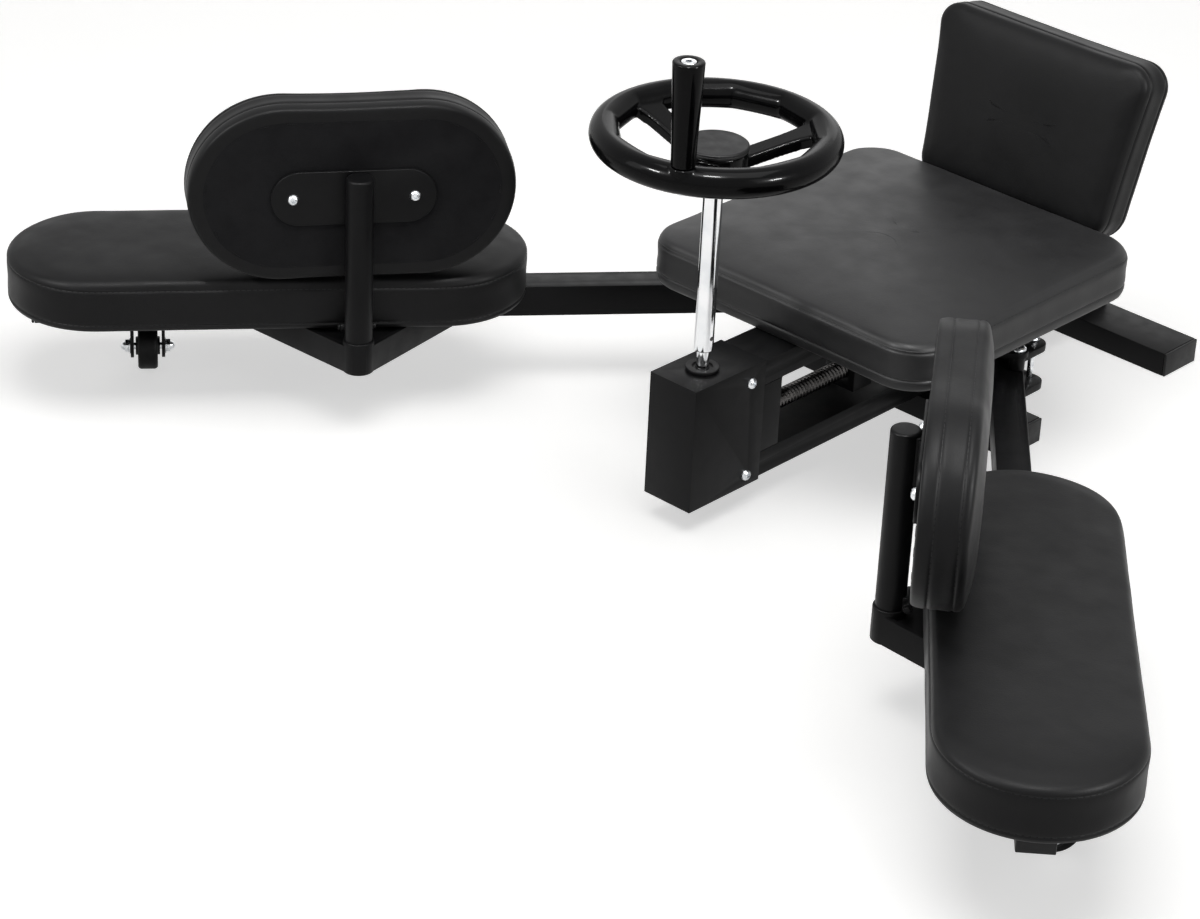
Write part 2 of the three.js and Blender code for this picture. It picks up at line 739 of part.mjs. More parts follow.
const headBottom = handleLength - handleRecess + fitGap;
const headTop = handleLength - fitGap;
add('handle_grip', turned([
  [handleBoltDiameter / 2 + runningGap, 0],
  [handleBottomDiameter / 2 - handleRound, 0],
  [handleBottomDiameter / 2, handleRound],
  [handleTopDiameter / 2, handleLength - handleRound],
  [handleTopDiameter / 2 - handleRound, handleLength],
  [handleHeadDiameter / 2 + runningGap, handleLength],
  [handleHeadDiameter / 2 + runningGap, handleLength - handleRecess],
  [handleBoltDiameter / 2 + runningGap, handleLength - handleRecess],
  [handleBoltDiameter / 2 + runningGap, 0],
], 20), glossBlack, drive, [handleX, handleY, handleBottom]);

const handleBolt = turned([
  [0, -rimDiameter + boltBelow],
  [handleBoltDiameter / 2, -rimDiameter + boltBelow],
  [handleBoltDiameter / 2, headBottom],
  [handleHeadDiameter / 2, headBottom],
  [handleHeadDiameter / 2, headTop],
  [0, headTop],
], fineSides);
const socket = rod(handleHeadDiameter * hexSocketShare, headTop - handleRecess / 2, headTop + overrun, 6);
add('handle_bolt', cut(handleBolt, socket), chrome, drive, [handleX, handleY, handleBottom]);

// Lead screw and its gear

const gearSeatDiameter = 13;
const thrustCollarDiameter = 25;
const thrustCollar = 5;
const screwTip = shaftReach - gearToeShare * gearPitchRadius;
const gearSeatEnd = shaftReach - gearPitchRadius - gearBack - gearHub - fitGap;
const collarFront = uprightFront - uprightDepth - fitGap;
const screwShoulder = columnSize / 2 + fitGap;
add('lead_screw', toAlongY(turned([
  [0, -screwTip],
  [gearSeatDiameter / 2, -screwTip],
  [gearSeatDiameter / 2, -gearSeatEnd],
  [screwBearingBore / 2, -gearSeatEnd],
  [screwBearingBore / 2, -collarFront],
  [thrustCollarDiameter / 2, -collarFront],
  [thrustCollarDiameter / 2, thrustCollar - collarFront],
  [screwDiameter / 2, thrustCollar - collarFront],
  [screwDiameter / 2, -screwShoulder],
  [screwTailDiameter / 2, -screwShoulder],
  [screwTailDiameter / 2, screwTailLength - screwShoulder],
  [0, screwTailLength - screwShoulder],
])), bareSteel, machine, [0, 0, screwHeight]);
add('screw_bevel_gear', toAlongY(bevelGear(gearSeatDiameter + 2 * fitGap, 0.5)), bareSteel,
  machine, [0, -shaftReach, screwHeight]);

// Linkage. The nut's place at rest follows from the arm's angle and the link's length.

const armAngleRadians = radians(armAngle);
const along = [Math.sin(armAngleRadians), -Math.cos(armAngleRadians)];
const out = [Math.cos(armAngleRadians), Math.sin(armAngleRadians)];
const linkPin = [
  pivotX + linkPinReach * along[0] + linkPinSide * out[0],
  linkPinReach * along[1] + linkPinSide * out[1],
];
const linkRun = linkPin[0] - nutPinSpacing / 2;
const nutY = linkPin[1] - Math.sqrt(linkLength ** 2 - linkRun ** 2);
const linkAngle = Math.atan2(linkPin[1] - nutY, linkRun);

const nutSize = 40;
const nutDepth = 30;
const crossheadThickness = 12;
const eyeBoss = 22;
const crossheadLow = screwHeight + nutSize / 2;
const crossheadHigh = crossheadLow + crossheadThickness;
const crossheadHalf = nutPinSpacing / 2 + eyeBoss / 2;
const bosses = sides.map(([, sign]) => rod(eyeBoss, crossheadLow, linkBottom - fitGap)
  .translate((sign * nutPinSpacing) / 2, 0, 0));
add('drive_nut', cut(
  join(
    block(
      [-nutSize / 2, -nutDepth / 2, screwHeight - nutSize / 2],
      [nutSize / 2, nutDepth / 2, crossheadHigh],
    ),
    block([-crossheadHalf, -eyeBoss / 2, crossheadLow], [crossheadHalf, eyeBoss / 2, crossheadHigh]),
    ...bosses,
  ),
  toAlongY(rod(screwDiameter + 2 * runningGap, -nutDepth, nutDepth)).translate(0, 0, screwHeight),
), blackSteel, machine, [0, nutY, 0]);

// A flat link along +X, with an eye at each end; the origin is the eye on the arm.
const linkPinDiameter = 12;
function link() {
  const half = linkLength / 2;
  const outline = roundedOutline(linkLength + linkWidth, linkWidth, linkWidth / 2, { sideSteps: 1 })
    .map(([x, y]) => [x - half, y]);
  const eye = linkPinDiameter + 2 * runningGap;
  return plate(outline, linkThickness, [[0, 0, eye], [-linkLength, 0, eye]]);
}

for (const [side, sign] of sides) {
  const bar = add(`link_${side}`, link(), blackSteel, machine, [sign * linkPin[0], linkPin[1], linkBottom]);
  bar.rotation.z = sign > 0 ? linkAngle : Math.PI - linkAngle;
}

// Arms. Each arm's own frame has x along the arm from its pivot; y is out on the left arm.

const linkStudDiameter = 8;
const linkHeadDiameter = 20;
const linkHeadHeight = 6;
const linkCollarDiameter = 16;

const linkPinPiece = () => turned([
  [0, armTop - tubeWall - linkStudDiameter],
  [linkStudDiameter / 2, armTop - tubeWall - linkStudDiameter],
  [linkStudDiameter / 2, armTop + fitGap],
  [linkCollarDiameter / 2, armTop + fitGap],
  [linkCollarDiameter / 2, linkBottom - fitGap],
  [linkPinDiameter / 2, linkBottom - fitGap],
  [linkPinDiameter / 2, linkTop + fitGap],
  [linkHeadDiameter / 2, linkTop + fitGap],
  [linkHeadDiameter / 2, linkTop + fitGap + linkHeadHeight / 2],
  [linkHeadDiameter / 2 - linkHeadHeight / 2, linkTop + fitGap + linkHeadHeight],
  [0, linkTop + fitGap + linkHeadHeight],
], fineSides);

function armTube(sign) {
  const tube = toAlongX(rectangularTube(armSize, armSize, armReach + armSize / 2));
  tube.translate(-armSize / 2, 0, armBottom + armSize / 2);
  return cut(
    tube,
    rod(pivotBoltDiameter + 2 * runningGap, armBottom - overrun, armTop + overrun),
    rod(linkStudDiameter + 2 * fitGap, armTop - tubeWall - overrun, armTop + overrun)
      .translate(linkPinReach, sign * linkPinSide, 0),
  );
}

function armCap() {
  const inner = armSize / 2 - tubeWall - fitGap;
  return join(
    block([0, -armSize / 2, -armSize / 2], [capWall, armSize / 2, armSize / 2]),
    block([-capPlug, -inner, -inner], [capWall / 2, inner, inner]),
  );
}

// The bar is bent to a V round the foot of the post, with a web between its two sides and a stub
// that the post slides over.
const footTubeDiameter = 33;
const footRise = 4; // the foot tube stands this far above the bar
const stubRise = 36;
const apexHalf = 7;
const apexShare = 0.9; // how far round the foot tube's front the bar reaches
const webThickness = 3;
const webDrop = 3; // the web's face below the bar's upper edge
const footTop = veeBottom + veeBarHeight + footRise;

function veeBracket(sign) {
  const start = -armSize / 2 - fitGap;
  const front = -postSide - (footTubeDiameter / 2) * apexShare;
  const slope = (veeSpread / 2 - apexHalf) / (start - front);
  const across = veeBarThickness * Math.hypot(1, slope);
  const inner = apexHalf + slope * (-postSide - front) - across;
  const half = [
    [apexHalf, front],
    [veeSpread / 2, start],
    [veeSpread / 2 - across, start],
    [inner, -postSide],
  ];
  const outline = [...half, ...half.map(([x, y]) => [-x, y]).reverse()];
  const bar = plate(outline.map(([x, y]) => [x, sign * y]), veeBarHeight);
  const webHalf = [[inner + across / 2, -postSide], [veeSpread / 2 - across / 2, start]];
  const webOutline = [...webHalf, ...webHalf.map(([x, y]) => [-x, y]).reverse()];
  const web = plate(webOutline.map(([x, y]) => [x, sign * y]), webThickness)
    .translate(0, 0, veeBarHeight - webDrop - webThickness);
  const footTube = rod(footTubeDiameter, 0, veeBarHeight + footRise, 24).translate(0, -sign * postSide, 0);
  const stub = rod(postDiameter - 2 * (postWall + fitGap), 0, veeBarHeight + footRise + stubRise)
    .translate(0, -sign * postSide, 0);
  return join(bar, web, footTube, stub);
}

// The post, with its flat plate for the upright pad welded on by a saddle. Its own frame stands on
// the floor at the post's axis, with x along the pad.
const plateLength = 172;
const plateHeight = 60;
const plateThickness = 4;
const plateMiddleRise = 95.5; // the plate's middle above the pad's lower edge
const saddleWidth = 20;
const saddleHeight = 50;
const postRound = 4;

const plateBack = postDiameter / 2; // the plate's face towards the post
const uprightPadBack = plateBack + plateThickness + fitGap;
const plateMiddle = uprightPadBottom + plateMiddleRise;

function uprightPost(sign) {
  const post = turned([
    [postDiameter / 2 - postWall, footTop + fitGap],
    [postDiameter / 2, footTop + fitGap],
    [postDiameter / 2, postTop - postRound],
    [postDiameter / 2 - postRound, postTop],
    [0, postTop],
    [0, postTop - postRound],
    [postDiameter / 2 - postWall, postTop - postRound],
    [postDiameter / 2 - postWall, footTop + fitGap],
  ], 24);
  const outline = roundedOutline(plateLength, plateHeight, plateHeight / 2, { sideSteps: 1 });
  const oval = plate(outline, plateThickness).rotateX(quarterTurn);
  oval.translate(uprightPadAhead, sign * plateBack + (sign > 0 ? plateThickness : 0), plateMiddle);
  const saddleEnd = sign * (plateBack + plateThickness / 2);
  const saddle = cut(
    block(
      [-saddleWidth / 2, Math.min(0, saddleEnd), plateMiddle - saddleHeight / 2],
      [saddleWidth / 2, Math.max(0, saddleEnd), plateMiddle + saddleHeight / 2],
    ),
    rod(postDiameter - postWall, footTop, postTop),
  );
  return join(post, oval, saddle);
}

// Casters

const forkThickness = 3.5;
const forkWidth = 26;
const forkGap = 4; // between the wheel and each side of the fork
const axleDiameter = 8;
const axleNut = 4;
const forkHalf = casterWidth / 2 + forkGap + forkThickness;
const forkTop = armBottom - fitGap;
const axleHeight = casterDiameter / 2;

function casterFork(sign) {
  const sidePlate = (x) => {
    const outline = [[-forkWidth / 2, forkTop], [forkWidth / 2, forkTop]];
    for (let step = 0; step <= 8; step += 1) {
      const angle = (step / 8) * Math.PI;
      outline.push([(forkWidth / 2) * Math.cos(angle), axleHeight - (forkWidth / 2) * Math.sin(angle)]);
    }
    const cheek = plate(outline.reverse(), forkThickness, [[0, axleHeight, axleDiameter + 2 * fitGap]]);
    cheek.applyMatrix4(new THREE.Matrix4().makeBasis(
      new THREE.Vector3(0, 1, 0),
      new THREE.Vector3(0, 0, 1),
      new THREE.Vector3(1, 0, 0),
    ));
    return cheek.translate(x, sign * casterSide, 0);
  };
  const low = sign * (casterSide + forkWidth / 2);
  const high = -sign * (armSize / 2);
  const top = block(
    [-forkHalf, Math.min(low, high), forkTop - forkThickness],
    [forkHalf, Math.max(low, high), forkTop],
  );
  return join(top, sidePlate(-forkHalf), sidePlate(forkHalf - forkThickness)).translate(casterReach, 0, 0);
}

const treadRound = 3;
const hubHalf = casterWidth / 2 + forkGap / 2;
const wheelHubDiameter = 20;
const casterProfile = [
  [axleDiameter / 2 + runningGap, -hubHalf],
  [wheelHubDiameter / 2, -hubHalf],
  [wheelHubDiameter / 2, -casterWidth / 2 + treadRound],
  [casterDiameter / 2 - 2 * treadRound, -casterWidth / 2 + treadRound],
  [casterDiameter / 2 - treadRound, -casterWidth / 2],
  [casterDiameter / 2, -casterWidth / 2 + treadRound],
];
const casterWheel = () => toAlongX(turned([
  ...casterProfile,
  ...casterProfile.map(([radius, z]) => [radius, -z]).reverse(),
  casterProfile[0],
], 28));
const casterAxle = () => {
  const half = forkHalf + fitGap;
  return toAlongX(join(
    rod(axleDiameter, -half - axleNut, half + axleNut),
    rod(axleDiameter * headAcrossShare, half, half + axleNut, 6),
    rod(axleDiameter * headAcrossShare, -half - axleNut, -half, 6),
  ));
};

const legPadSize = { length: legPadLength, width: legPadWidth, corner: legPadWidth / 2 };
const legPadForm = { ...legPadSize, thickness: legPadThickness, crown: legPadCrown, skirt: legPadSkirt };

// The leg pad is notched at its inner end, where the arm passes under it.
function legPad() {
  const half = armSize / 2 + pivotPlay;
  const end = -legPadLength / 2;
  return cut(
    cushion(legPadForm),
    block([end - overrun, -half, -overrun], [end + boardInset + overrun, half, legPadSkirt]),
  );
}

const uprightPadSize = { length: uprightPadLength, width: uprightPadHeight, corner: uprightPadHeight / 2 };

for (const [side, sign] of sides) {
  const arm = new THREE.Group();
  arm.position.set(sign * pivotX, 0, 0);
  arm.rotation.z = sign > 0 ? armAngleRadians - quarterTurn : -armAngleRadians - quarterTurn;
  machine.add(arm);
  add(`arm_tube_${side}`, armTube(sign), blackSteel, arm);
  add(`arm_cap_${side}`, armCap(), plastic, arm, [armReach + fitGap, 0, armBottom + armSize / 2]);
  add(`link_pin_${side}`, linkPinPiece(), chrome, arm, [linkPinReach, sign * linkPinSide, 0]);
  add(`vee_bracket_${side}`, veeBracket(sign), blackSteel, arm, [postReach, 0, veeBottom]);
  add(`leg_pad_board_${side}`, board(legPadSize), plywood, arm, [legPadMiddle, 0, armTop + fitGap]);
  add(`leg_pad_cushion_${side}`, legPad(), vinyl, arm, [legPadMiddle, 0, armTop + fitGap - legPadSkirt]);
  const upright = new THREE.Group();
  upright.position.set(postReach, -sign * postSide, 0);
  upright.rotation.z = -sign * radians(uprightTurn);
  arm.add(upright);
  add(`upright_post_${side}`, uprightPost(sign), blackSteel, upright);
  const pad = add(`upright_cushion_${side}`,
    cushion({
      ...uprightPadSize, thickness: uprightPadThickness, crown: uprightPadCrown, pocketed: false,
    }), vinyl,
    upright, [uprightPadAhead, sign * uprightPadBack, uprightPadBottom + uprightPadHeight / 2]);
  pad.rotation.x = -sign * quarterTurn;
  add(`caster_fork_${side}`, casterFork(sign), blackSteel, arm);
  add(`caster_axle_${side}`, casterAxle(), chrome, arm, [casterReach, sign * casterSide, axleHeight]);
  add(`caster_wheel_${side}`, casterWheel(), plastic, arm, [casterReach, sign * casterSide, axleHeight]);
}

export default machine;
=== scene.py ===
"""A leg stretching machine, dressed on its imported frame.

Metres, +Z up, -Y the front, +X the sitter's left. The origin is on the floor between the arm pivots.
"""
import json
import math

import bmesh
import bpy
import numpy as np
from mathutils import Matrix, Vector, noise as perlin


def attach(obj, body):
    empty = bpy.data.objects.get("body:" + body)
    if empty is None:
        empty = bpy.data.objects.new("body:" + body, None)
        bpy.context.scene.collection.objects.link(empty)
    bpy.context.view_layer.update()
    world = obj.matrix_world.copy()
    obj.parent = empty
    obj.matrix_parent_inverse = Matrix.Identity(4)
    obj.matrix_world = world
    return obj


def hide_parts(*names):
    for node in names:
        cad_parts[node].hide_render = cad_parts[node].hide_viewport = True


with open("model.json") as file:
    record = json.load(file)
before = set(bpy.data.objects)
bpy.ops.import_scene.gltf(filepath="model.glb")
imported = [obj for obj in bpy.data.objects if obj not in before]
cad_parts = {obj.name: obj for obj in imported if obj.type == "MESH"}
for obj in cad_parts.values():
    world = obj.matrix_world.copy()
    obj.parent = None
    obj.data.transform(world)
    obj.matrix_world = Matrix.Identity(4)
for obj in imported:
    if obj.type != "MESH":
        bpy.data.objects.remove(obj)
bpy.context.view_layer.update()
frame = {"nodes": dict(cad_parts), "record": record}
MM = 0.001
SIDES = {"left": 1, "right": -1}
# where the solids stand, in metres and degrees
PIVOT_X, ARM_ANGLE = 0.114, 39.6
POST_ALONG, POST_OUT, POST_TURN = 0.5385, -0.124, -3.8
DRIVE_Y, SCREW_HEIGHT, WHEEL_HEIGHT = -0.36, 0.086, 0.4195
scene = bpy.context.scene
scene.view_settings.view_transform = "Standard"


def set_all(owner, settings):
    for key, value in settings.items():
        setattr(owner, key, value)


def in_scene(name, data):
    """A new object, linked into the scene."""
    made = bpy.data.objects.new(name, data)
    scene.collection.objects.link(made)
    return made


def empty_tree(owner):
    """The emptied node tree of a new material or world."""
    owner.use_nodes = True
    owner.node_tree.nodes.clear()
    return owner.node_tree


# Camera, light and floor

def photographers_camera():
    """Stands where the photograph was taken from, with its long lens."""
    azimuth, elevation, roll = (math.radians(degrees) for degrees in (40.22, 26.77, 3.70))
    look_at, distance = Vector((-0.05276, -0.26423, 0.150)), 3.56178
    level = math.cos(elevation)
    forward = Vector((-math.sin(azimuth) * level, math.cos(azimuth) * level, -math.sin(elevation)))
    right = Vector((math.cos(azimuth), math.sin(azimuth), 0))
    up = right.cross(forward)
    right, up = right * math.cos(roll) + up * math.sin(roll), up * math.cos(roll) - right * math.sin(roll)
    data = bpy.data.cameras.new("camera")
    data.sensor_width, data.lens = 36, 103.05
    data.shift_x, data.shift_y = -0.10493, -0.10368
    data.clip_start, data.clip_end = 0.1, 60
    camera = in_scene("camera", data)
    facing = Matrix((right, up, -forward)).transposed().to_4x4()
    camera.matrix_world = Matrix.Translation(look_at - distance * forward) @ facing
    scene.camera = camera


def linear(colour):
    """An sRGB hex colour as Blender's linear values."""
    parts = [int(colour[i:i + 2], 16) / 255 for i in (0, 2, 4)]
    return [p / 12.92 if p <= 0.04045 else ((p + 0.055) / 1.055) ** 2.4 for p in parts] + [1.0]


def node(tree, kind, settings=None, **links):
    """Adds one node. settings are its properties. Each link is a value, a socket, or a node for its first
    output, and is named after the input or by i and the input's number."""
    made = tree.nodes.new(kind)
    set_all(made, settings or {})
    for key, value in links.items():
        name = key.replace("_", " ")
        socket = made.inputs[int(key[1:])] if key[0] == "i" and key[1:].isdigit() else made.inputs[name]
        if isinstance(value, bpy.types.Node):
            value = value.outputs[0]
        if isinstance(value, bpy.types.NodeSocket):
            tree.links.new(value, socket)
        else:
            socket.default_value = value
    return made


def studio():
    """A white sweep under a big soft lamp, with faint windows round it. The camera, metal and glass see white
    behind, and the white floor keeps the machine's shadow."""
    world = bpy.data.worlds.new("studio")
    tree = empty_tree(world)
    soft = node(tree, "ShaderNodeBackground", Color=linear("ffffff"), Strength=0.14)
    white = node(tree, "ShaderNodeBackground", Color=linear("ffffff"), Strength=1.0)
    mix = node(tree, "ShaderNodeMixShader", i0=seen_directly(tree), i1=soft, i2=white)
    node(tree, "ShaderNodeOutputWorld", Surface=mix)
    scene.world = world

    def lamp(name, place, aim, size, watts, highlights_only=False):
        data = bpy.data.lights.new(name, "AREA")
        data.shape, data.size, data.size_y, data.energy = "RECTANGLE", size[0], size[1], watts
        made = in_scene(name, data)
        made.location = place
        made.rotation_euler = (Vector(aim) - Vector(place)).to_track_quat("-Z", "Y").to_euler()
        made.visible_diffuse = not highlights_only

    lamp("overhead_softbox", (0.3, -0.5, 2.9), (0, -0.2, 0.1), (2.6, 2.0), 50)
    lamp("side_window", (3.2, -0.6, 1.9), (0.1, -0.4, 0.2), (1.0, 1.8), 7.5)
    lamp("front_window", (-1.7, -2.9, 1.7), (0, -0.3, 0.2), (1.0, 1.6), 11)
    lamp("back_window", (-2.2, 3.0, 1.6), (-0.1, -0.2, 0.2), (2.2, 1.2), 9)
    # three strip lights that only draw the short bars on the wheel's rim
    wheel = Vector((0, DRIVE_Y, 0.42))
    for k, toward in enumerate(((-0.247, -0.813, 0.527), (0.255, -0.331, 0.909), (0.93, 0.1, 0.36))):
        lamp(f"rim_light_{k}", wheel + 2.6 * Vector(toward), wheel, (0.45, 0.15), 64, True)

    floor = bpy.data.meshes.new("floor")
    floor.from_pydata([(-9, -9, 0), (9, -9, 0), (9, 9, 0), (-9, 9, 0)], [], [(0, 1, 2, 3)])
    material = bpy.data.materials.new("white_paper_sweep")
    tree = empty_tree(material)
    paper = node(tree, "ShaderNodeBsdfDiffuse", Color=linear("e9e8e6"))
    glow = node(tree, "ShaderNodeEmission", Color=linear("ffffff"), Strength=seen_directly(tree, 0.56))
    both = node(tree, "ShaderNodeAddShader", i0=paper, i1=glow)
    node(tree, "ShaderNodeOutputMaterial", Surface=both)
    floor.materials.append(material)
    floor_object = in_scene("floor", floor)


def seen_directly(tree, strength=1.0):
    """The strength where the camera, a mirror or glass looks, and zero for the light on the machine."""
    path = node(tree, "ShaderNodeLightPath").outputs
    looks = path["Is Camera Ray"]
    for ray in ("Is Glossy Ray", "Is Transmission Ray"):
        looks = node(tree, "ShaderNodeMath", {"operation": "MAXIMUM"}, i0=looks, i1=path[ray])
    return node(tree, "ShaderNodeMath", {"operation": "MULTIPLY"}, i0=looks, i1=strength)


# Materials

def surface(name, tones, clouds, gloss, blotches, waves, height, strength, pebbles=None, stretch=None,
            **shader):
    """A finish made of three noises, each given by its waves in a metre and its detail. Clouds carry the
    colour from one tone to the other, and blotches the roughness through the range of gloss. Waves raise a
    relief, its height in metres, with pebbles over it where given. stretch draws it all out along X."""
    material = bpy.data.materials.new(name)
    tree = empty_tree(material)
    place = node(tree, "ShaderNodeTexCoord").outputs["Object"]
    if stretch:
        place = node(tree, "ShaderNodeMapping", Vector=place, Scale=stretch)
    cloud, blotch, wave = (
        node(tree, "ShaderNodeTexNoise", Vector=place, Scale=scale, Detail=detail,
             Roughness=raggedness[0] if raggedness else 0.5).outputs["Fac"]
        for scale, detail, *raggedness in (clouds, blotches, waves))
    share = node(tree, "ShaderNodeMapRange", Value=cloud, From_Min=0.35, From_Max=0.65)
    colour = node(tree, "ShaderNodeMix", {"data_type": "RGBA"}, Factor=share,
                  i6=linear(tones[0]), i7=linear(tones[1]))
    roughness = node(tree, "ShaderNodeMapRange", Value=blotch, From_Min=0.3, From_Max=0.7,
                     To_Min=gloss[0], To_Max=gloss[1])
    bump = node(tree, "ShaderNodeBump", Height=wave, Distance=height, Strength=strength)
    if pebbles:
        pebble_height, kind, cells = pebbles
        pattern = node(tree, "ShaderNodeTexVoronoi", {"feature": kind}, Vector=place, **cells)
        bump = node(tree, "ShaderNodeBump", Height=pattern.outputs["Distance"], Distance=pebble_height,
                    Strength=0.4, Normal=bump)
    bsdf = node(tree, "ShaderNodeBsdfPrincipled", Base_Color=colour.outputs[2], Roughness=roughness,
                Normal=bump, **shader)
    node(tree, "ShaderNodeOutputMaterial", Surface=bsdf)
    return material


def upholstery_vinyl(name, tones, specular):
    """Charcoal PVC leathercloth: a fine pebble grain with a dull sheen, clouded between two close tones."""
    # real grains are 0.6 to 1 mm, drawn at 1.6 mm so that they show
    grain = (0.00014, "SMOOTH_F1", dict(Scale=620.0, Smoothness=0.4))
    return surface(name, tones, (7, 5), (0.42, 0.54), (30, 4), (22, 3), 0.0010, 0.3, grain,
                   Specular_IOR_Level=specular, Sheen_Weight=0.03, Sheen_Roughness=0.5)


photographers_camera()
studio()

# Black polyester powder, baked: an even satin with slightly worn, paler patches and a faint orange peel,
# whose waves are about 2 mm apart, drawn at 3 mm so that they show
STEEL = surface("powder_coated_steel", ("0d0d0e", "161617"), (9, 4), (0.36, 0.48), (60, 3), (330, 2),
                0.0001, 0.3, Specular_IOR_Level=0.1)
# Polished black phenolic, as on machine handwheels: deep gloss with soft waves left by the mould
PHENOLIC = surface("moulded_phenolic", ("050506", "0a0a0b"), (14, 3), (0.16, 0.28), (45, 4), (55, 2),
                   0.0002, 0.2, Specular_IOR_Level=0.04, Coat_Weight=0.13, Coat_Roughness=0.06, Coat_IOR=1.4)
VINYL = upholstery_vinyl("upholstery_vinyl", ("111112", "181819"), 0.115)
# the seat's cover is the pads' vinyl painted paler than the pads': a painted sheen standing for the light
# that falls on the seat's top
SEAT_VINYL_PAINTED_SHEEN = upholstery_vinyl("seat_vinyl_painted_sheen", ("1d1d1e", "262627"), 0.27)
# Chrome plate on steel: a mirror, barely uneven, with the faintest haze
CHROME = surface("bright_chrome", ("dcdee0", "ececed"), (30, 3), (0.05, 0.12), (120, 3), (900, 2),
                 0.00002, 0.2, Metallic=1.0)
# Bright zinc plate on screws, washers and staples: silvery, a little soft, with a cloudy bloom
ZINC = surface("zinc_plated_steel", ("c4c7ca", "e4e6e8"), (160, 3), (0.18, 0.34), (240, 3), (1500, 2),
               0.00003, 0.3, Metallic=1.0)
# Bare turned steel under a film of oil: grey and finely rough, with darker patches
MACHINED = surface("machined_steel", ("3a3938", "636160"), (40, 4), (0.22, 0.42), (90, 4), (1200, 2),
                   0.00004, 0.4, Metallic=1.0)
# Cast and machined bearing bronze: warm and dull, with darker oily patches
BRONZE = surface("cast_bronze", ("6d4f2b", "96713f"), (50, 4), (0.28, 0.48), (80, 4), (900, 3),
                 0.00005, 0.5, Metallic=1.0)
# Black nylon, injection moulded: a dull, finely spark-eroded skin
NYLON = surface("moulded_nylon", ("0d0d0e", "171718"), (25, 3), (0.4, 0.55), (70, 3), (1400, 2),
                0.00006, 0.5, Specular_IOR_Level=0.22)
# The casters' treads, soft black polyurethane: dull, with a scuffed, paler bloom
TYRE = surface("tyre_polyurethane", ("0b0b0c", "181818"), (60, 4), (0.45, 0.65), (100, 3), (600, 3),
               0.0001, 0.4, Specular_IOR_Level=0.12)
# Black bonded polyester thread: fibrous, a touch shinier than the vinyl
THREAD = surface("bonded_thread", ("0e0e0f", "19191a"), (300, 2), (0.4, 0.6), (500, 2), (2500, 2),
                 0.0001, 0.6, Specular_IOR_Level=0.25)
# Black spunbond polypropylene, stapled over the boards: matt, with a pressed dimple pattern
DUST_COVER = surface("dust_cover_cloth", ("0f0f11", "161618"), (18, 4), (0.6, 0.8), (50, 3), (30, 3),
                     0.0015, 0.3, (0.0002, "F1", dict(Scale=450.0)), Specular_IOR_Level=0.1)
# Raw birch plywood: pale, with long fine grain
PLYWOOD = surface("birch_plywood", ("8e7047", "b5966a"), (24, 5, 0.6), (0.58, 0.72), (60, 3), (120, 4),
                  0.0001, 0.4, stretch=(1, 14, 14), Specular_IOR_Level=0.4)

SLOT_MATERIALS = {
    "black_steel": STEEL, "gloss_black": PHENOLIC, "vinyl": VINYL, "plywood": PLYWOOD,
    "chrome": CHROME, "bare_steel": MACHINED, "bronze": BRONZE, "plastic": NYLON,
}
SLOT_OF = {part["node"]: part["material_slot"] for part in frame["record"]["subparts"]}
BODY_OF = {name: body for body, names in frame["record"]["behaviour"]["bodies"].items() for name in names}
for name, solid in frame["nodes"].items():
    solid.data.materials.clear()
    solid.data.materials.append(SLOT_MATERIALS[SLOT_OF[name]])


# Making pieces

def at(x=0.0, y=0.0, z=0.0):
    return Matrix.Translation((x, y, z))


def turn(degrees, axis):
    return Matrix.Rotation(math.radians(degrees), 4, axis)


def piece(name, mesh, body, slot, replaces=(), material=None, angle=35):
    """A finished object from a mesh that is already in place, riding on a body."""
    made = in_scene(name, mesh)
    if not mesh.materials:
        mesh.materials.append(material or SLOT_MATERIALS[slot])
    mesh.shade_smooth()
    mesh.set_sharp_from_angle(angle=math.radians(angle))
    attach(made, body)
    if replaces:
        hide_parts(*replaces)
    return made


def stands_for(node_name, mesh, place=at(), material=None, angle=35, suffix="fine"):
    """The finished shape of one CAD node, on that node's body and from its slot."""
    return piece(f"{node_name}_{suffix}", put(mesh, place), BODY_OF[node_name], SLOT_OF[node_name],
                 [node_name], material, angle)


def mesh_from(name, points, faces):
    mesh = bpy.data.meshes.new(name)
    mesh.from_pydata([tuple(p) for p in points], [], faces)
    mesh.update()
    return mesh


def closed(mesh):
    """Turns the faces of a closed mesh outwards."""
    work = bmesh.new()
    work.from_mesh(mesh)
    bmesh.ops.recalc_face_normals(work, faces=work.faces)
    work.to_mesh(mesh)
    work.free()
    return mesh


def applied(holder):
    """The mesh that an object's modifiers make of it. The object goes."""
    bpy.context.view_layer.update()
    mesh = bpy.data.meshes.new_from_object(holder.evaluated_get(bpy.context.evaluated_depsgraph_get()))
    bpy.data.objects.remove(holder)
    return mesh


def evaluated(mesh, *modifiers):
    """The mesh after a stack of modifiers, each given as (kind, settings)."""
    holder = in_scene("holder", mesh)
    for kind, settings in modifiers:
        set_all(holder.modifiers.new(kind.lower(), kind), settings)
    return applied(holder)


def eased(mesh, radius, segments=3, angle=30, miter="MITER_SHARP"):
    """The mesh with its hard edges rounded to a radius in millimetres."""
    return evaluated(mesh, ("BEVEL", {"width": radius * MM, "segments": segments, "limit_method": "ANGLE",
                                      "angle_limit": math.radians(angle), "use_clamp_overlap": True,
                                      "miter_outer": miter}))


def joined(name, *meshes):
    """One mesh from several."""
    whole = bmesh.new()
    for mesh in meshes:
        whole.from_mesh(mesh)
    mesh = bpy.data.meshes.new(name)
    whole.to_mesh(mesh)
    whole.free()
    return mesh


def cut_by(mesh, *tools):
    """The mesh with each tool's shape taken out of it."""
    for tool in tools:
        cutter = in_scene("cutter", tool)
        mesh = evaluated(mesh, ("BOOLEAN", {"object": cutter, "operation": "DIFFERENCE", "solver": "EXACT"}))
        bpy.data.objects.remove(cutter)
    return mesh


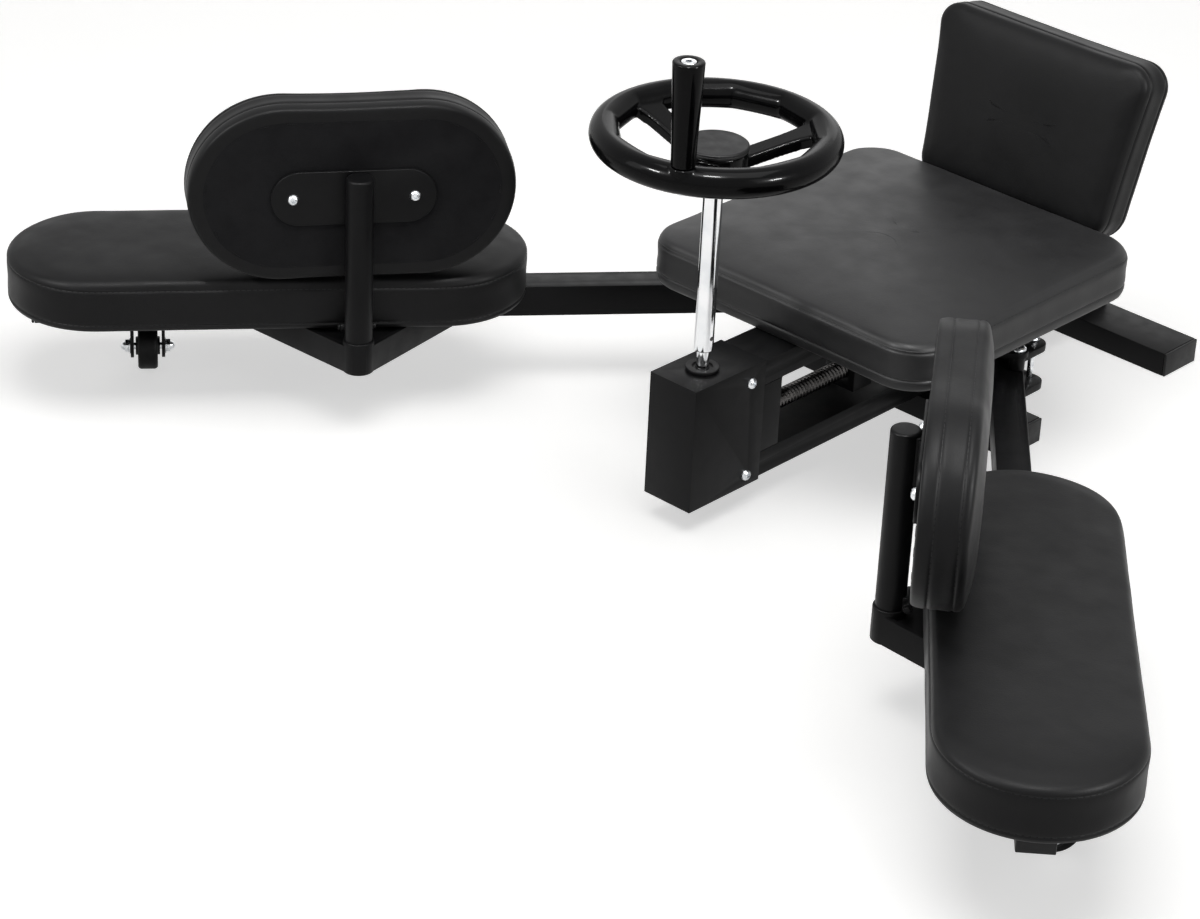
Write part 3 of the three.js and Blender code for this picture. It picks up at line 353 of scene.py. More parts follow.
def put(mesh, place):
    """Moves a mesh to its place, turning its faces back if the place is mirrored."""
    mesh.transform(place)
    if place.determinant() < 0:
        mesh.flip_normals()
    return mesh


def turned(name, profile, sides=64, place=at(), close=False):
    """A piece turned about Z. The profile is (radius, z) in millimetres, from one end on the axis to the
    other, or a closed loop where it has a bore. A radius may be a function of the angle."""
    rings, points, faces = [], [], []
    angles = [math.tau * i / sides for i in range(sides)]
    for radius, z in profile:
        reach = [radius(a) if callable(radius) else radius for a in angles]
        if max(reach) < 1e-6:
            rings.append([len(points)])
            points.append((0, 0, z * MM))
        else:
            rings.append([len(points) + i for i in range(sides)])
            points += [(r * MM * math.cos(a), r * MM * math.sin(a), z * MM) for r, a in zip(reach, angles)]
    for low, high in zip(rings, rings[1:] + (rings[:1] if close else [])):
        for i in range(sides if len(low) + len(high) > 2 else 0):
            j = (i + 1) % sides
            a, b = low[i % len(low)], low[j % len(low)]
            c, d = high[j % len(high)], high[i % len(high)]
            faces.append([a] + [b] * (len(low) > 1) + [c] + [d] * (len(high) > 1))
    return put(closed(mesh_from(name, points, faces)), place)


def rounded(profile, radius, steps=4):
    """A turned profile with every corner between its first and last point rounded, in millimetres."""
    result = [profile[0]]
    for before, corner, after in zip(profile, profile[1:], profile[2:]):
        c = np.array(corner, float)
        arms = [np.array(before, float) - c, np.array(after, float) - c]
        lengths = [np.linalg.norm(arm) for arm in arms]
        bend = np.cross(arms[0], arms[1]) / (lengths[0] * lengths[1])
        if abs(bend) < 0.05:
            result.append(corner)
            continue
        cut = min(radius, lengths[0] * 0.45, lengths[1] * 0.45)
        start, end = (c + arm / length * cut for arm, length in zip(arms, lengths))
        for step in range(steps + 1):
            t = step / steps
            result.append(tuple((1 - t) ** 2 * start + 2 * t * (1 - t) * c + t ** 2 * end))
    return result + [profile[-1]]


def rod(name, radius, low, high, edge=0.0, sides=64, place=at()):
    """A round bar along Z between two heights, its rims rounded where an edge is given."""
    profile = [(0, low), (radius, low), (radius, high), (0, high)]
    return turned(name, rounded(profile, edge) if edge else profile, sides, place)


def lofted(name, rings, ring_closed=False):
    """A skin over rings of points in millimetres, capped at both ends or closed on itself."""
    count, whole = len(rings[0]), len(rings) * len(rings[0])
    points = [tuple(c * MM for c in p) for ring in rings for p in ring]
    faces = [] if ring_closed else [list(range(count))[::-1], list(range(whole - count, whole))]
    for low in range(0, whole if ring_closed else whole - count, count):
        high = (low + count) % whole
        faces += [[low + i - 1, low + i, high + i, high + i - 1] for i in range(1, count)]
        faces.append([low + count - 1, low, high, high + count - 1])
    return closed(mesh_from(name, points, faces))


def extruded(name, outline, low, high, bevel=0.0, segments=3):
    """A flat piece cut to an outline in the XY plane, in millimetres, with its hard edges rounded."""
    mesh = lofted(name, [[(x, y, z) for x, y in outline] for z in (low, high)])
    return eased(mesh, bevel, segments) if bevel else mesh


def slab(name, low, high, bevel=0.0):
    corners = [(low[0], low[1]), (high[0], low[1]), (high[0], high[1]), (low[0], high[1])]
    return extruded(name, corners, low[2], high[2], bevel)


def hexagon(across):
    reach = across / math.sqrt(3)
    return [(reach * math.cos(math.pi * k / 3), reach * math.sin(math.pi * k / 3)) for k in range(6)]


def stadium(length, width):
    half, steps = (length - width) / 2, 16
    turns = [math.pi * k / steps - math.pi / 2 for k in range(steps + 1)]
    right = [(half + width / 2 * math.cos(a), width / 2 * math.sin(a)) for a in turns]
    return right + [(-x, -y) for x, y in right]


def arm_place(side, along=0.0, out=0.0, up=0.0):
    """The arm's own frame in the machine's: x along the arm, y out from the machine's middle, z up.
    On the right arm the frame is mirrored, so a mesh placed by it has its faces turned back."""
    place = at(PIVOT_X) @ turn(ARM_ANGLE - 90, "Z") @ at(along, out, up)
    return Matrix.Scale(SIDES[side], 4, (1, 0, 0)) @ place


def upright_place(side):
    """The post's own frame, on the floor under its axis, turned a little towards the sitter's legs."""
    return arm_place(side, POST_ALONG, POST_OUT) @ turn(POST_TURN, "Z")


def spot(place, position, outward, along=(1, 0, 0)):
    """A fastening's place on a surface, with z pointing out of it. The other values are in place's frame."""
    axes = place.to_3x3()
    z = (axes @ Vector(outward)).normalized()
    x = axes @ Vector(along)
    x = (x - z * x.dot(z)).normalized()
    made = Matrix((x, z.cross(x), z)).transposed().to_4x4()
    made.translation = place @ Vector(position)
    return made


# What repeats: stitches, fastenings and weld beads, each a small node tree with its sizes as inputs

def geometry_tree(name, **sizes):
    """An empty tree: a geometry input, its sizes, each with its socket's type, and a geometry output."""
    tree = bpy.data.node_groups.new(name, "GeometryNodeTree")
    tree.interface.new_socket("Path", in_out="INPUT", socket_type="NodeSocketGeometry")
    inputs = {label: tree.interface.new_socket(label.replace("_", " "), in_out="INPUT",
                                               socket_type="NodeSocket" + kind).identifier
              for label, kind in sizes.items()}
    tree.interface.new_socket("Made", in_out="OUTPUT", socket_type="NodeSocketGeometry")
    return tree, inputs, tree.nodes.new("NodeGroupInput").outputs


def finished(tree, inputs, geometry, finish):
    """Ends a node tree with real geometry in its finish."""
    real = node(tree, "GeometryNodeRealizeInstances", Geometry=geometry)
    faced = node(tree, "GeometryNodeSetMaterial", Geometry=real, Material=finish)
    tree.links.new(faced.outputs[0], tree.nodes.new("NodeGroupOutput").inputs[0])
    return tree, inputs


def stitch_tree():
    """Short thread stitches laid end to end along a seam."""
    tree, inputs, given = geometry_tree("seam_stitches", Spacing="Float", Stitch_Length="Float",
                                        Thread_Radius="Float", Thread="Material")
    spots = node(tree, "GeometryNodeCurveToPoints", {"mode": "LENGTH"}, Curve=given["Path"],
                 Length=given["Spacing"])
    thread = node(tree, "GeometryNodeMeshCylinder", {"fill_type": "NGON"}, Vertices=6,
                  Radius=given["Thread Radius"], Depth=given["Stitch Length"])
    laid = node(tree, "GeometryNodeInstanceOnPoints", Points=spots.outputs["Points"],
                Instance=thread.outputs["Mesh"], Rotation=spots.outputs["Rotation"])
    return finished(tree, inputs, laid, given["Thread"])


def fastening_tree():
    """One fastening set down at every spot, turned as the spot's own attribute says."""
    tree, inputs, given = geometry_tree("fastenings", Fastening="Object", Size="Float", Finish="Material")
    turned_to = node(tree, "GeometryNodeInputNamedAttribute", {"data_type": "FLOAT_VECTOR"}, Name="turn")
    rotation = node(tree, "FunctionNodeEulerToRotation", Euler=turned_to)
    pattern = node(tree, "GeometryNodeObjectInfo", Object=given["Fastening"])
    scale = node(tree, "ShaderNodeCombineXYZ", X=given["Size"], Y=given["Size"], Z=given["Size"])
    set_down = node(tree, "GeometryNodeInstanceOnPoints", Points=given["Path"], Rotation=rotation,
                    Instance=pattern.outputs["Geometry"], Scale=scale)
    return finished(tree, inputs, set_down, given["Finish"])


def weld_tree():
    """A weld bead: a half-sunk cord along the joint whose thickness ripples as the torch moved on."""
    tree, inputs, given = geometry_tree("weld_bead", Bead_Radius="Float", Ripple_Spacing="Float",
                                        Ripple_Depth="Float", Coat="Material")
    fine = node(tree, "GeometryNodeResampleCurve", {"mode": "LENGTH"}, Curve=given["Path"], Length=0.0007)
    run = node(tree, "GeometryNodeSplineParameter").outputs["Length"]
    phase = node(tree, "ShaderNodeMath", {"operation": "DIVIDE"}, i0=run, i1=given["Ripple Spacing"])
    whole = node(tree, "ShaderNodeMath", {"operation": "MULTIPLY"}, i0=phase, i1=math.tau)
    wave = node(tree, "ShaderNodeMath", {"operation": "SINE"}, i0=whole)
    ripple = node(tree, "ShaderNodeMath", {"operation": "MULTIPLY_ADD"}, i0=wave,
                  i1=given["Ripple Depth"], i2=given["Bead Radius"])
    ring = node(tree, "GeometryNodeCurvePrimitiveCircle", Resolution=8, Radius=1.0)
    bead = node(tree, "GeometryNodeCurveToMesh", Curve=fine, Profile_Curve=ring, Scale=ripple,
                Fill_Caps=True)
    return finished(tree, inputs, bead, given["Coat"])


STITCHES, FASTENINGS, WELDS = stitch_tree(), fastening_tree(), weld_tree()


def grown(name, base, kit, **values):
    """The mesh that a node tree makes from a base curve or point cloud."""
    tree, inputs = kit
    holder = in_scene(name, base)
    modifier = holder.modifiers.new(name, "NODES")
    modifier.node_group = tree
    for label, value in values.items():
        modifier[inputs[label]] = value
    return applied(holder)


def line_through(paths, cyclic):
    line = bpy.data.curves.new("path", "CURVE")
    line.dimensions = "3D"
    for path in paths:
        spline = line.splines.new("POLY")
        spline.points.add(len(path) - 1)
        for point, co in zip(spline.points, path):
            point.co = (*co, 1)
        spline.use_cyclic_u = cyclic
    return line


def fastenings(name, pattern, spots, body, slot, material):
    """The same fastening at several spots, each a place whose z points out of the surface."""
    model = in_scene(name + "_pattern", pattern)
    cloud = mesh_from(name, [spot.translation for spot in spots], [])
    turns = cloud.attributes.new("turn", "FLOAT_VECTOR", "POINT")
    turns.data.foreach_set("vector", [angle for spot in spots for angle in spot.to_euler()])
    mesh = grown(name, cloud, FASTENINGS, Fastening=model, Size=1.0, Finish=material)
    bpy.data.objects.remove(model)
    piece(name, mesh, body, slot, material=material)


def weld(name, paths, body, cyclic=False, radius=2.0):
    """Weld beads along joints, paths in metres in the machine's frame."""
    mesh = grown(name, line_through(paths, cyclic), WELDS, Bead_Radius=radius * MM, Ripple_Spacing=1.9 * MM,
                 Ripple_Depth=0.22 * MM, Coat=STEEL)
    piece(name, mesh, body, "black_steel", material=STEEL, angle=180)


# Cut and welded steel: each bare solid gets the rounded edges that a tube or plate has

def eased_solid(name, radius):
    """Finishes a CAD solid with a copy whose hard edges are rounded."""
    solid = bmesh.new()
    solid.from_mesh(frame["nodes"][name].data)
    bmesh.ops.remove_doubles(solid, verts=solid.verts, dist=2e-6)
    bmesh.ops.dissolve_limit(solid, angle_limit=math.radians(1), verts=solid.verts, edges=solid.edges)
    mesh = bpy.data.meshes.new(name + "_eased")
    solid.to_mesh(mesh)
    solid.free()
    mesh = eased(mesh, radius, angle=40, miter="MITER_ARC")
    mesh.materials.clear()
    stands_for(name, mesh, suffix="eased")


TUBE_CORNER = 2.5
# each solid's name and the radius of its edges, in millimetres
for solid, radius in {
    "lower_rail": TUBE_CORNER, "upper_rail": TUBE_CORNER, "front_upright": 0.6, "pivot_column": TUBE_CORNER,
    "rear_foot": TUBE_CORNER, "middle_foot": TUBE_CORNER, "gearbox_cover": 0.9,
    "pivot_plate_lower": 0.8, "pivot_plate_upper": 0.8, "backrest_bracket": 1.0, "drive_nut": 1.2,
    "screw_bearing": 0.6, "input_bevel_gear": 0.35, "screw_bevel_gear": 0.35,
    **{f"{foot}_cap_{side}": 2.2 for foot in ("rear_foot", "middle_foot") for side in SIDES},
    **{f"{part}_{side}": size for side in SIDES for part, size in
       (("arm_tube", TUBE_CORNER), ("arm_cap", 1.8), ("vee_bracket", 0.8), ("caster_fork", 0.7),
        ("link", 0.8))},
}.items():
    eased_solid(solid, radius)


# Drive: shafts, screw and bearings

DRIVE = at(0, DRIVE_Y)
CROSS_PIN = at(0, 0, 0.202) @ turn(90, "Y")

tube = turned("shaft_tube", rounded([(6.9, 187), (10, 187), (10, 407.5), (6.9, 407.5)], 1.2), 96, close=True)
pin_hole = rod("pin_hole", 2.4, -12, 12, sides=24, place=CROSS_PIN)
stands_for("shaft_tube", cut_by(tube, pin_hole), DRIVE, angle=50)
stands_for("cross_pin", rod("cross_pin", 2, -9.2, 9.2, 0.5, 24), DRIVE @ CROSS_PIN)
stands_for("input_shaft", rod("input_shaft", 6.5, 99.64, 232, 1.0), DRIVE)
stands_for("shaft_bearing", turned("shaft_bearing", rounded(
    [(6.9, 140), (10, 134.3), (10, 164.7), (17, 164.7), (17, 168.2), (10.5, 168.2), (10.5, 166.2),
     (6.9, 166.2), (6.9, 140)], 0.8)[:-1], 72, close=True), DRIVE, angle=50)

THREAD_LEAD, THREAD_STARTS, CREST, THREAD_DEPTH = 10.0, 2, 10.0, 2.0
THREAD_FROM, THREAD_TO, RUN_OUT = -261.7, -20.3, 6
CREST_SHARE, FLANK_SHARE = 0.14, 0.2


def thread_radius(z):
    """A two-start trapezoidal thread at one height along the screw, running out at both ends."""
    fade = min(1.0, (z - THREAD_FROM) / RUN_OUT, (THREAD_TO - z) / RUN_OUT)

    def radius(angle):
        phase = (THREAD_STARTS * (z / THREAD_LEAD - angle / math.tau)) % 1
        flank = min(max((abs(phase - 0.5) - CREST_SHARE) / FLANK_SHARE, 0), 1)
        return CREST - max(fade, 0) * THREAD_DEPTH * flank
    return radius


thread_rows = [(thread_radius(z), z) for z in np.linspace(-261.2, -20.9, 430)]
screw = turned("lead_screw", [
    (0, -346.36), (5.6, -346.36), (6.5, -345.4), (6.5, -319.7), (7.4, -319.7), (8, -319.1), (8, -266.7),
    (12, -266.7), (12.5, -266.2), (12.5, -262.2), (12, THREAD_FROM), (CREST, THREAD_FROM), *thread_rows,
    (CREST, THREAD_TO), (7, THREAD_TO), (7, -3.1), (6.2, -2.3), (0, -2.3)], 40,
    at(0, 0, SCREW_HEIGHT) @ turn(-90, "X"))
stands_for("lead_screw", screw)


# Handwheel

WHEEL = at(0, DRIVE_Y, WHEEL_HEIGHT)
RIM_RADIUS, RIM_SECTION, RIM_HEIGHT = 111.0, 14.0, 15.0
FACETS, FACET_PHASE, FACET_DEPTH = 12, 3.0, 0.95
HANDLE_ANGLE, SPOKE_ANGLE = -65.0, -63.5
handle_spot = turn(HANDLE_ANGLE, "Z") @ at(RIM_RADIUS * MM)


def rim():
    """The rim: an oval ring whose inner side is cut to a straight facet for each finger."""
    rings, inner, half_facet = [], RIM_RADIUS - RIM_SECTION, math.pi / FACETS
    sections, corners = 288, 28
    for i in range(sections):
        around = math.tau * i / sections
        from_middle = (around - math.radians(FACET_PHASE)) % (2 * half_facet) - half_facet
        bulge = FACET_DEPTH * inner * (1 - math.cos(half_facet) / math.cos(from_middle))
        ring = []
        for j in range(corners):
            angle = math.tau * j / corners
            inward = min(1, 1.25 * max(0, -math.cos(angle)))
            out = RIM_RADIUS + RIM_SECTION * math.cos(angle) - bulge * inward
            ring.append((out * math.cos(around), out * math.sin(around), RIM_HEIGHT * math.sin(angle)))
        rings.append(ring)
    return lofted("rim", rings, True)


def spoke():
    """A spoke along X, from the hub up to the rim: flat on top, bevelled, hollow beneath, flared outwards."""
    rings = []
    for share in (0.1, 0.35, 0.6, 0.74, 0.82, 0.9, 0.98):
        half = 12.5 * (1 + 0.62 * max(0, share - 0.70) / 0.28)
        top = -27.5 + 35.5 * share
        flank = [(half, top - 12.5), (half, top - 1.8), (half - 1.8, top)]
        groove = [(half - 6, top - 6), (half - 5, top - 12.5)]
        section = flank + [(-y, z) for y, z in flank[::-1]] + [(-y, z) for y, z in groove[::-1]] + groove
        rings.append([(RIM_RADIUS * share, y, z) for y, z in section])
    return lofted("spoke", rings)


def handwheel_moulding():
    """Rim, spokes, hub and the handle's boss, fused and smoothed into one moulding, then bored."""
    hub = turned("hub", rounded([(0, -33), (22, -33), (31, -30), (31, -12), (0, -12)], 2.5), 64)
    boss = rod("boss", 13.2, -2, 14, 1.0, 48, handle_spot)
    spokes = [put(spoke(), turn(SPOKE_ANGLE + 120 * k, "Z")) for k in range(3)]
    moulding = evaluated(joined("moulding", rim(), hub, boss, *spokes),
                         ("REMESH", {"mode": "VOXEL", "voxel_size": 1.35 * MM}),
                         ("SMOOTH", {"factor": 0.5, "iterations": 5}))
    bolt_hole = turned("bolt_hole", [(0, -20), (8.2, -20), (8.2, -6), (4.3, -6), (4.3, 20), (0, 20)], 48,
                       handle_spot)
    return cut_by(moulding, rod("bore", 10.3, -40, -11.7), bolt_hole)


stands_for("handwheel", handwheel_moulding(), WHEEL, angle=50)
hub_cap = turned("hub_cap", rounded([(0, -12), (32.4, -12), (33, -11.4), (33, -9.4), (32.2, -8.9), (33, -8.4),
                                     (33, -7.4), (31.6, -6.2), (0, -6)], 0.5), 96, WHEEL)
piece("handwheel_hub_cap", hub_cap, "handwheel", "gloss_black", material=NYLON, angle=50)
nut = extruded("nut", hexagon(13), -14, -8, 0.7)
piece("handle_nut", put(nut, WHEEL @ handle_spot), "handwheel", "chrome", material=ZINC)

GRIP = at(0, DRIVE_Y, 0.4338) @ handle_spot
grip = rounded([(4.4, 0), (12, 0), (12.6, 25), (13.6, 52), (14.9, 82), (15.75, 107), (7.9, 107), (7.9, 98),
                (4.4, 98)], 2.4, 6)
stands_for("handle_grip", turned("handle_grip", grip, 96, close=True), GRIP, angle=50)
bolt = rounded([(0, -19), (4, -19), (4, 98.3), (7.5, 98.3), (7.5, 106.7), (0, 106.7)], 0.9)
bolt_socket = extruded("hex_socket", hexagon(6.5), 102, 112)
stands_for("handle_bolt", cut_by(turned("handle_bolt", bolt, 64), bolt_socket), GRIP)


# Fastenings

def domed_head(across, height, socket):
    """A domed screw head with a hexagon socket, standing on z = 0."""
    dome = [(0, -0.4), (across / 2, -0.4), (across / 2, 0.5), (across * 0.46, height * 0.5),
            (across * 0.34, height * 0.86), (across * 0.18, height), (0, height)]
    hollow = extruded("hex_socket", hexagon(socket), height * 0.35, height + 2)
    return cut_by(turned("domed_head", dome, 32), hollow)


def hexagon_head(across, height, washer=0.0):
    """A hexagon head or nut on z = 0, over a round washer where one is given."""
    base = 1.5 if washer else 0
    head = extruded("hexagon_head", hexagon(across), base, height + base, 0.5, 2)
    if not washer:
        return head
    ring = rounded([(0, 0), (washer / 2, 0), (washer / 2, base), (0, base)], 0.4, 2)
    return joined("washered_head", head, turned("washer", ring, 40))


COVER_FLANK = 31.1
DOMED_NUT = [(0, -0.4), (6.2, -0.4), (6.2, 0.5), (5.7, 2.2), (4.2, 3.8), (2.2, 4.4), (0, 4.4)]
for end, height in (("upper", 0.1455), ("lower", 0.0395)):
    head = put(domed_head(12.4, 4.4, 4.6), at(COVER_FLANK * MM) @ turn(90, "Y"))
    domed_nut = turned("domed_nut", DOMED_NUT, 32, at(-COVER_FLANK * MM) @ turn(-90, "Y"))
    shank = rod("shank", 3.5, -31.3, 31.3, sides=32, place=turn(90, "Y"))
    bolt = joined("cover_bolt", shank, head, domed_nut)
    stands_for(f"cover_bolt_{end}", bolt, at(0, -0.3185, height), ZINC)

ABOVE_PLATES, UNDER_PLATES = at(0, 0, 0.1202), at(0, 0, 0.0612)
for side, sign in SIDES.items():
    for bolt_name, place, across, shank_radius, washer in (
            ("pivot_bolt", at(sign * PIVOT_X), 22, 7, 30),
            ("spacer_bolt", at(sign * 0.134, 0.022), 11, 3.5, 15)):
        shank = rod("shank", shank_radius, 58, 121, 0.8, 40)
        head = put(hexagon_head(across, 4.6, washer), ABOVE_PLATES)
        nut = put(hexagon_head(across, 5.5), UNDER_PLATES)
        stands_for(f"{bolt_name}_{side}", joined(bolt_name, shank, head, nut), place, ZINC)
    pin_place = arm_place(side, 0.051, 0.010)
    pin = rounded([(0, 101), (4, 101), (4, 111.3), (6, 111.3), (6, 133.6), (8.5, 133.6), (8.5, 135.6),
                   (6, 138), (0, 138)], 0.6)
    stands_for(f"link_pin_{side}", turned("link_pin", pin, 48), pin_place, ZINC)
    spacer = rounded([(6.1, 111.3), (8.4, 111.3), (8.4, 127), (6.1, 127)], 0.5)
    piece(f"link_spacer_{side}", turned("link_spacer", spacer, 48, pin_place, close=True), f"arm_{side}",
          "black_steel")


# Arms: posts, plates, casters

# places in the post's own frame
PLATE, LUG = at(0.004, 0, 0.262), at(0, 0.0165, 0.112)
for side in SIDES:
    arm, stand = f"arm_{side}", upright_place(side)
    post = turned("post", rounded([(11.5, 104.3), (14.5, 104.3), (14.5, 291), (0, 291)], 3.4, 6)
                  + [(0, 286), (11.5, 286)], 72, close=True)
    stands_for(f"upright_post_{side}", post, stand, angle=50)
    oval = put(extruded("oval_plate", stadium(172, 60), 0, 4, 0.9), PLATE @ at(0, 0.0185) @ turn(90, "X"))
    saddle = slab("saddle", (-10, 9, 237), (10, 14.7, 287), 1.0)
    piece(f"pad_plate_{side}", put(joined("pad_plate", oval, saddle), stand), arm, "black_steel")
    screws = [spot(stand @ PLATE, (x * MM, 0.0145, 0), (0, -1, 0)) for x in (-63, 63)]
    fastenings(f"pad_plate_screws_{side}", domed_head(12.0, 4.2, 4.4), screws, arm, "chrome", ZINC)

    lug = rod("lug", 5, -17, 17, 0.6, 32, LUG @ turn(90, "Y"))
    web = slab("lug_web", (-9, 11, 105), (9, 17, 119), 0.6)
    piece(f"post_lug_{side}", put(joined("post_lug", lug, web), stand), arm, "black_steel")
    pins = [rod("pin_end", 3.6, 17, 20, 0.8, 24, LUG @ turn(way, "Y")) for way in (90, -90)]
    piece(f"post_bolt_{side}", put(joined("post_bolt", *pins), stand), arm, "black_steel")

    ring = [stand @ Vector((14.9 * MM * math.cos(a), 14.9 * MM * math.sin(a), 0.1043))
            for a in np.linspace(0, math.tau, 48, endpoint=False)]
    joints = [[stand @ Vector((x * MM, 0.0142, z * MM)) for z in np.linspace(239, 285, 6)]
              for x in (-10.4, 10.4)]
    ends = [[arm_place(side, POST_ALONG + x * MM, -0.0182, z * MM).translation
             for z in np.linspace(71, 99, 6)] for x in (-116.5, 116.5, -100, 100)]
    weld(f"post_weld_{side}", [ring], arm, True, 1.3)
    weld(f"bracket_welds_{side}", joints + ends, arm)

    wheel_place = arm_place(side, 0.758, 0.025, 0.0255) @ turn(90, "Y")
    tread = rounded([(16, -8.5), (19.5, -8.5), (23, -11), (25.5, -8.2), (25.5, 8.2), (23, 11), (19.5, 8.5),
                     (16, 8.5)], 1.4, 5)
    stands_for(f"caster_wheel_{side}", turned("tread", tread, 72, close=True), wheel_place, TYRE)
    hub = rounded([(4.4, -13), (10, -13), (10, -8), (15.8, -6.6), (16.4, -8), (16.4, 8), (15.8, 6.6), (10, 8),
                   (10, 13), (4.4, 13)], 0.7)
    piece(f"caster_hub_{side}", turned("caster_hub", hub, 64, wheel_place, close=True), f"caster_{side}",
          "plastic", material=NYLON)
    axle = [turned("axle", [(0, -23.5), (3.4, -23.5), (4, -22.8), (4, 22.8), (3.4, 23.5), (0, 23.5)], 32)]
    for end in (turn(0, "X"), turn(180, "X")):
        axle.append(put(hexagon_head(13.6, 4.2, 17), end @ at(0, 0, 0.0186)))
        axle.append(turned("acorn", [(0, 0), (5, 0), (4.6, 2), (3, 4), (0, 5)], 32, end @ at(0, 0, 0.0243)))
    stands_for(f"caster_axle_{side}", joined("caster_axle", *axle), wheel_place, ZINC)

# welds across the beam, at the front upright's ends and along both feet
across_beam = [(-0.2965, 0.0566), (-0.2965, 0.1340), (-0.2672, 0.0566), (-0.2672, 0.1340),
               *((y, 0.0284) for y in (0.2563, 0.3157, -0.0297, 0.0297))]
weld("beam_welds", [[(x * MM, y, z) for x in np.linspace(-28, 28, 12)] for y, z in across_beam], "frame")


# Upholstery

# metres, and STAPLE_LINE as a share of the hem's size
SWELL, UNEVEN, DUST_INSET, STAPLE_SPACING, STAPLE_LINE = 0.0022, 0.00045, 0.0165, 0.026, 0.985


def rounded_outline(length, width, corner, inset=0.0, bow=0.0):
    """Points of a rounded rectangle, anticlockwise, its sides drawn in by bow between the corners."""
    corner_steps, spacing = 12, 0.009
    half = (length / 2 - inset, width / 2 - inset)
    radius = max(corner - inset * (1 if 2 * corner >= width - 1e-6 else 0.45), 0.0004)
    points = []
    for quarter, (sx, sy) in enumerate(((1, 1), (-1, 1), (-1, -1), (1, -1))):
        along_x = quarter % 2 == 0
        before = width if along_x else length
        first = 0 if before > 2 * corner + 1e-6 else 1
        for step in range(first, corner_steps + 1):
            angle = (quarter + step / corner_steps) * math.pi / 2
            points.append((sx * (half[0] - radius) + radius * math.cos(angle),
                           sy * (half[1] - radius) + radius * math.sin(angle)))
        side = length if along_x else width
        if side <= 2 * corner + 1e-6:
            continue
        reach = 2 * ((half[0] if along_x else half[1]) - radius)
        steps = max(2, round((side - 2 * corner) / spacing))
        last = points[-1]
        for step in range(1, steps):
            share = step / steps
            pull = bow * 4 * share * (1 - share)
            points.append((last[0] - sx * reach * share, last[1] - sy * pull) if along_x
                          else (last[0] - sx * pull, last[1] - sy * reach * share))
    return points


def bridged(ring, points):
    """Faces from side to side across a ring, so that no fan of thin triangles meets in its middle."""
    on_axis, narrowest = 1e-7, 0.0008
    start = next(k for k, i in enumerate(ring) if points[i][1] > on_axis >= points[ring[k - 1]][1])
    order = ring[start:] + ring[:start]
    upper = [i for i in order if points[i][1] > on_axis]
    lower = [i for i in order if points[i][1] < -on_axis][::-1]
    ends = {way: [i for i in order if abs(points[i][1]) <= on_axis and points[i][0] * way > 0]
            for way in (1, -1)}
    faces, begin = [], 0
    for end in range(1, len(upper)):
        last = end == len(upper) - 1
        if last or abs(points[upper[end]][0] - points[upper[begin]][0]) > narrowest:
            way_back = (ends[-1] if last else []) + lower[begin:end + 1][::-1]
            faces.append((ends[1] if begin == 0 else []) + upper[begin:end + 1] + way_back)
            begin = end
    return faces


def cushion_mesh(length, width, corner, thickness, crown, taper=0.0, seams=(0.2, 0.75), skirt=0.0):
    """A stuffed pad, base on z = 0: board edge, lower strip, band and top strip parted by two seams, crowned
    panel. A skirt hangs below the board. Returns points, faces, the seam loops and the vertices that the
    sewing and the staples hold still."""
    roll, waist, groove, base = 0.0065, 0.0010, 0.0015, skirt - 0.0001
    low, high = seams[0] * thickness, seams[1] * thickness
    # (inset, z): the side's section from under the board, where it is held, out and up to the rolled top edge
    section = [(0.034, base), (0.020, base), (0.0105, base)]
    section += [(0.0096, skirt - 0.0014), (0.0088, skirt * 0.45), (0.0076, 0.0012), (0.0056, 0.0),
                (0.0034, 0.0004), (0.0014, 0.0022)] if skirt else [(0.0045, 0.0003)]
    stapled = len(section)
    section += [] if skirt else [(0.0018, 0.0015)]
    section += [(0.0004, (low + 0.003) / 2), (0.0003, low - 0.0024), (0.0008, low - 0.0010), (groove, low),
                (0.0008, low + 0.0010), (0.0003, low + 0.0024)]
    section += [(waist * (1 - abs(2 * t - 1)), low + (high - low) * t) for t in (0.24, 0.42, 0.6, 0.78)]
    section += [(0.0003, high - 0.0024), (0.0008, high - 0.0010), (groove, high), (0.0007, high + 0.0010),
                (0.0001, high + 0.0022)]
    section += [(roll * (1 - math.cos(a)), thickness - roll * (1 - math.sin(a)))
                for a in map(math.radians, (5, 25, 45, 65, 85))]
    half_width = min(length, width) / 2
    panel = [roll + (half_width - roll) * share for share in
             (0.05, 0.11, 0.18, 0.26, 0.34, 0.43, 0.52, 0.61, 0.7, 0.79, 0.87, 0.94)]
    stadium_form = 2 * corner >= width - 1e-6

    def crown_at(x, y):
        if stadium_form:
            reach = math.hypot(max(abs(x) - (length - width) / 2, 0), y) / (width / 2 - roll)
            return crown * (1 - min(reach, 1) ** 3.2)
        u, v = abs(x) / (length / 2 - roll), abs(y) / (width / 2 - roll)
        return crown * (1 - min(u, 1) ** 4) * (1 - min(v, 1) ** 4)

    points, rings, held, seam_rings = [], [], [], []
    for row, (inset, z) in enumerate(section + [(inset, thickness) for inset in panel]):
        ring, crowned = [], row >= len(section)
        for x, y in rounded_outline(length, width, corner, inset, 0.001):
            ring.append(len(points))
            points.append([x, y * (1 + 2 * taper * x / length), z + (crown_at(x, y) if crowned else 0)])
        rings.append(ring)
        if row < stapled or inset == groove:
            held.extend(ring)
        if inset == groove:
            seam_rings.append(ring)
    faces = [(below[i - 1], below[i], above[i], above[i - 1]) for below, above in zip(rings, rings[1:])
             for i in range(len(below))]
    faces += bridged(rings[-1], points) + [face[::-1] for face in bridged(rings[0], points)]
    return np.array(points), faces, seam_rings, held


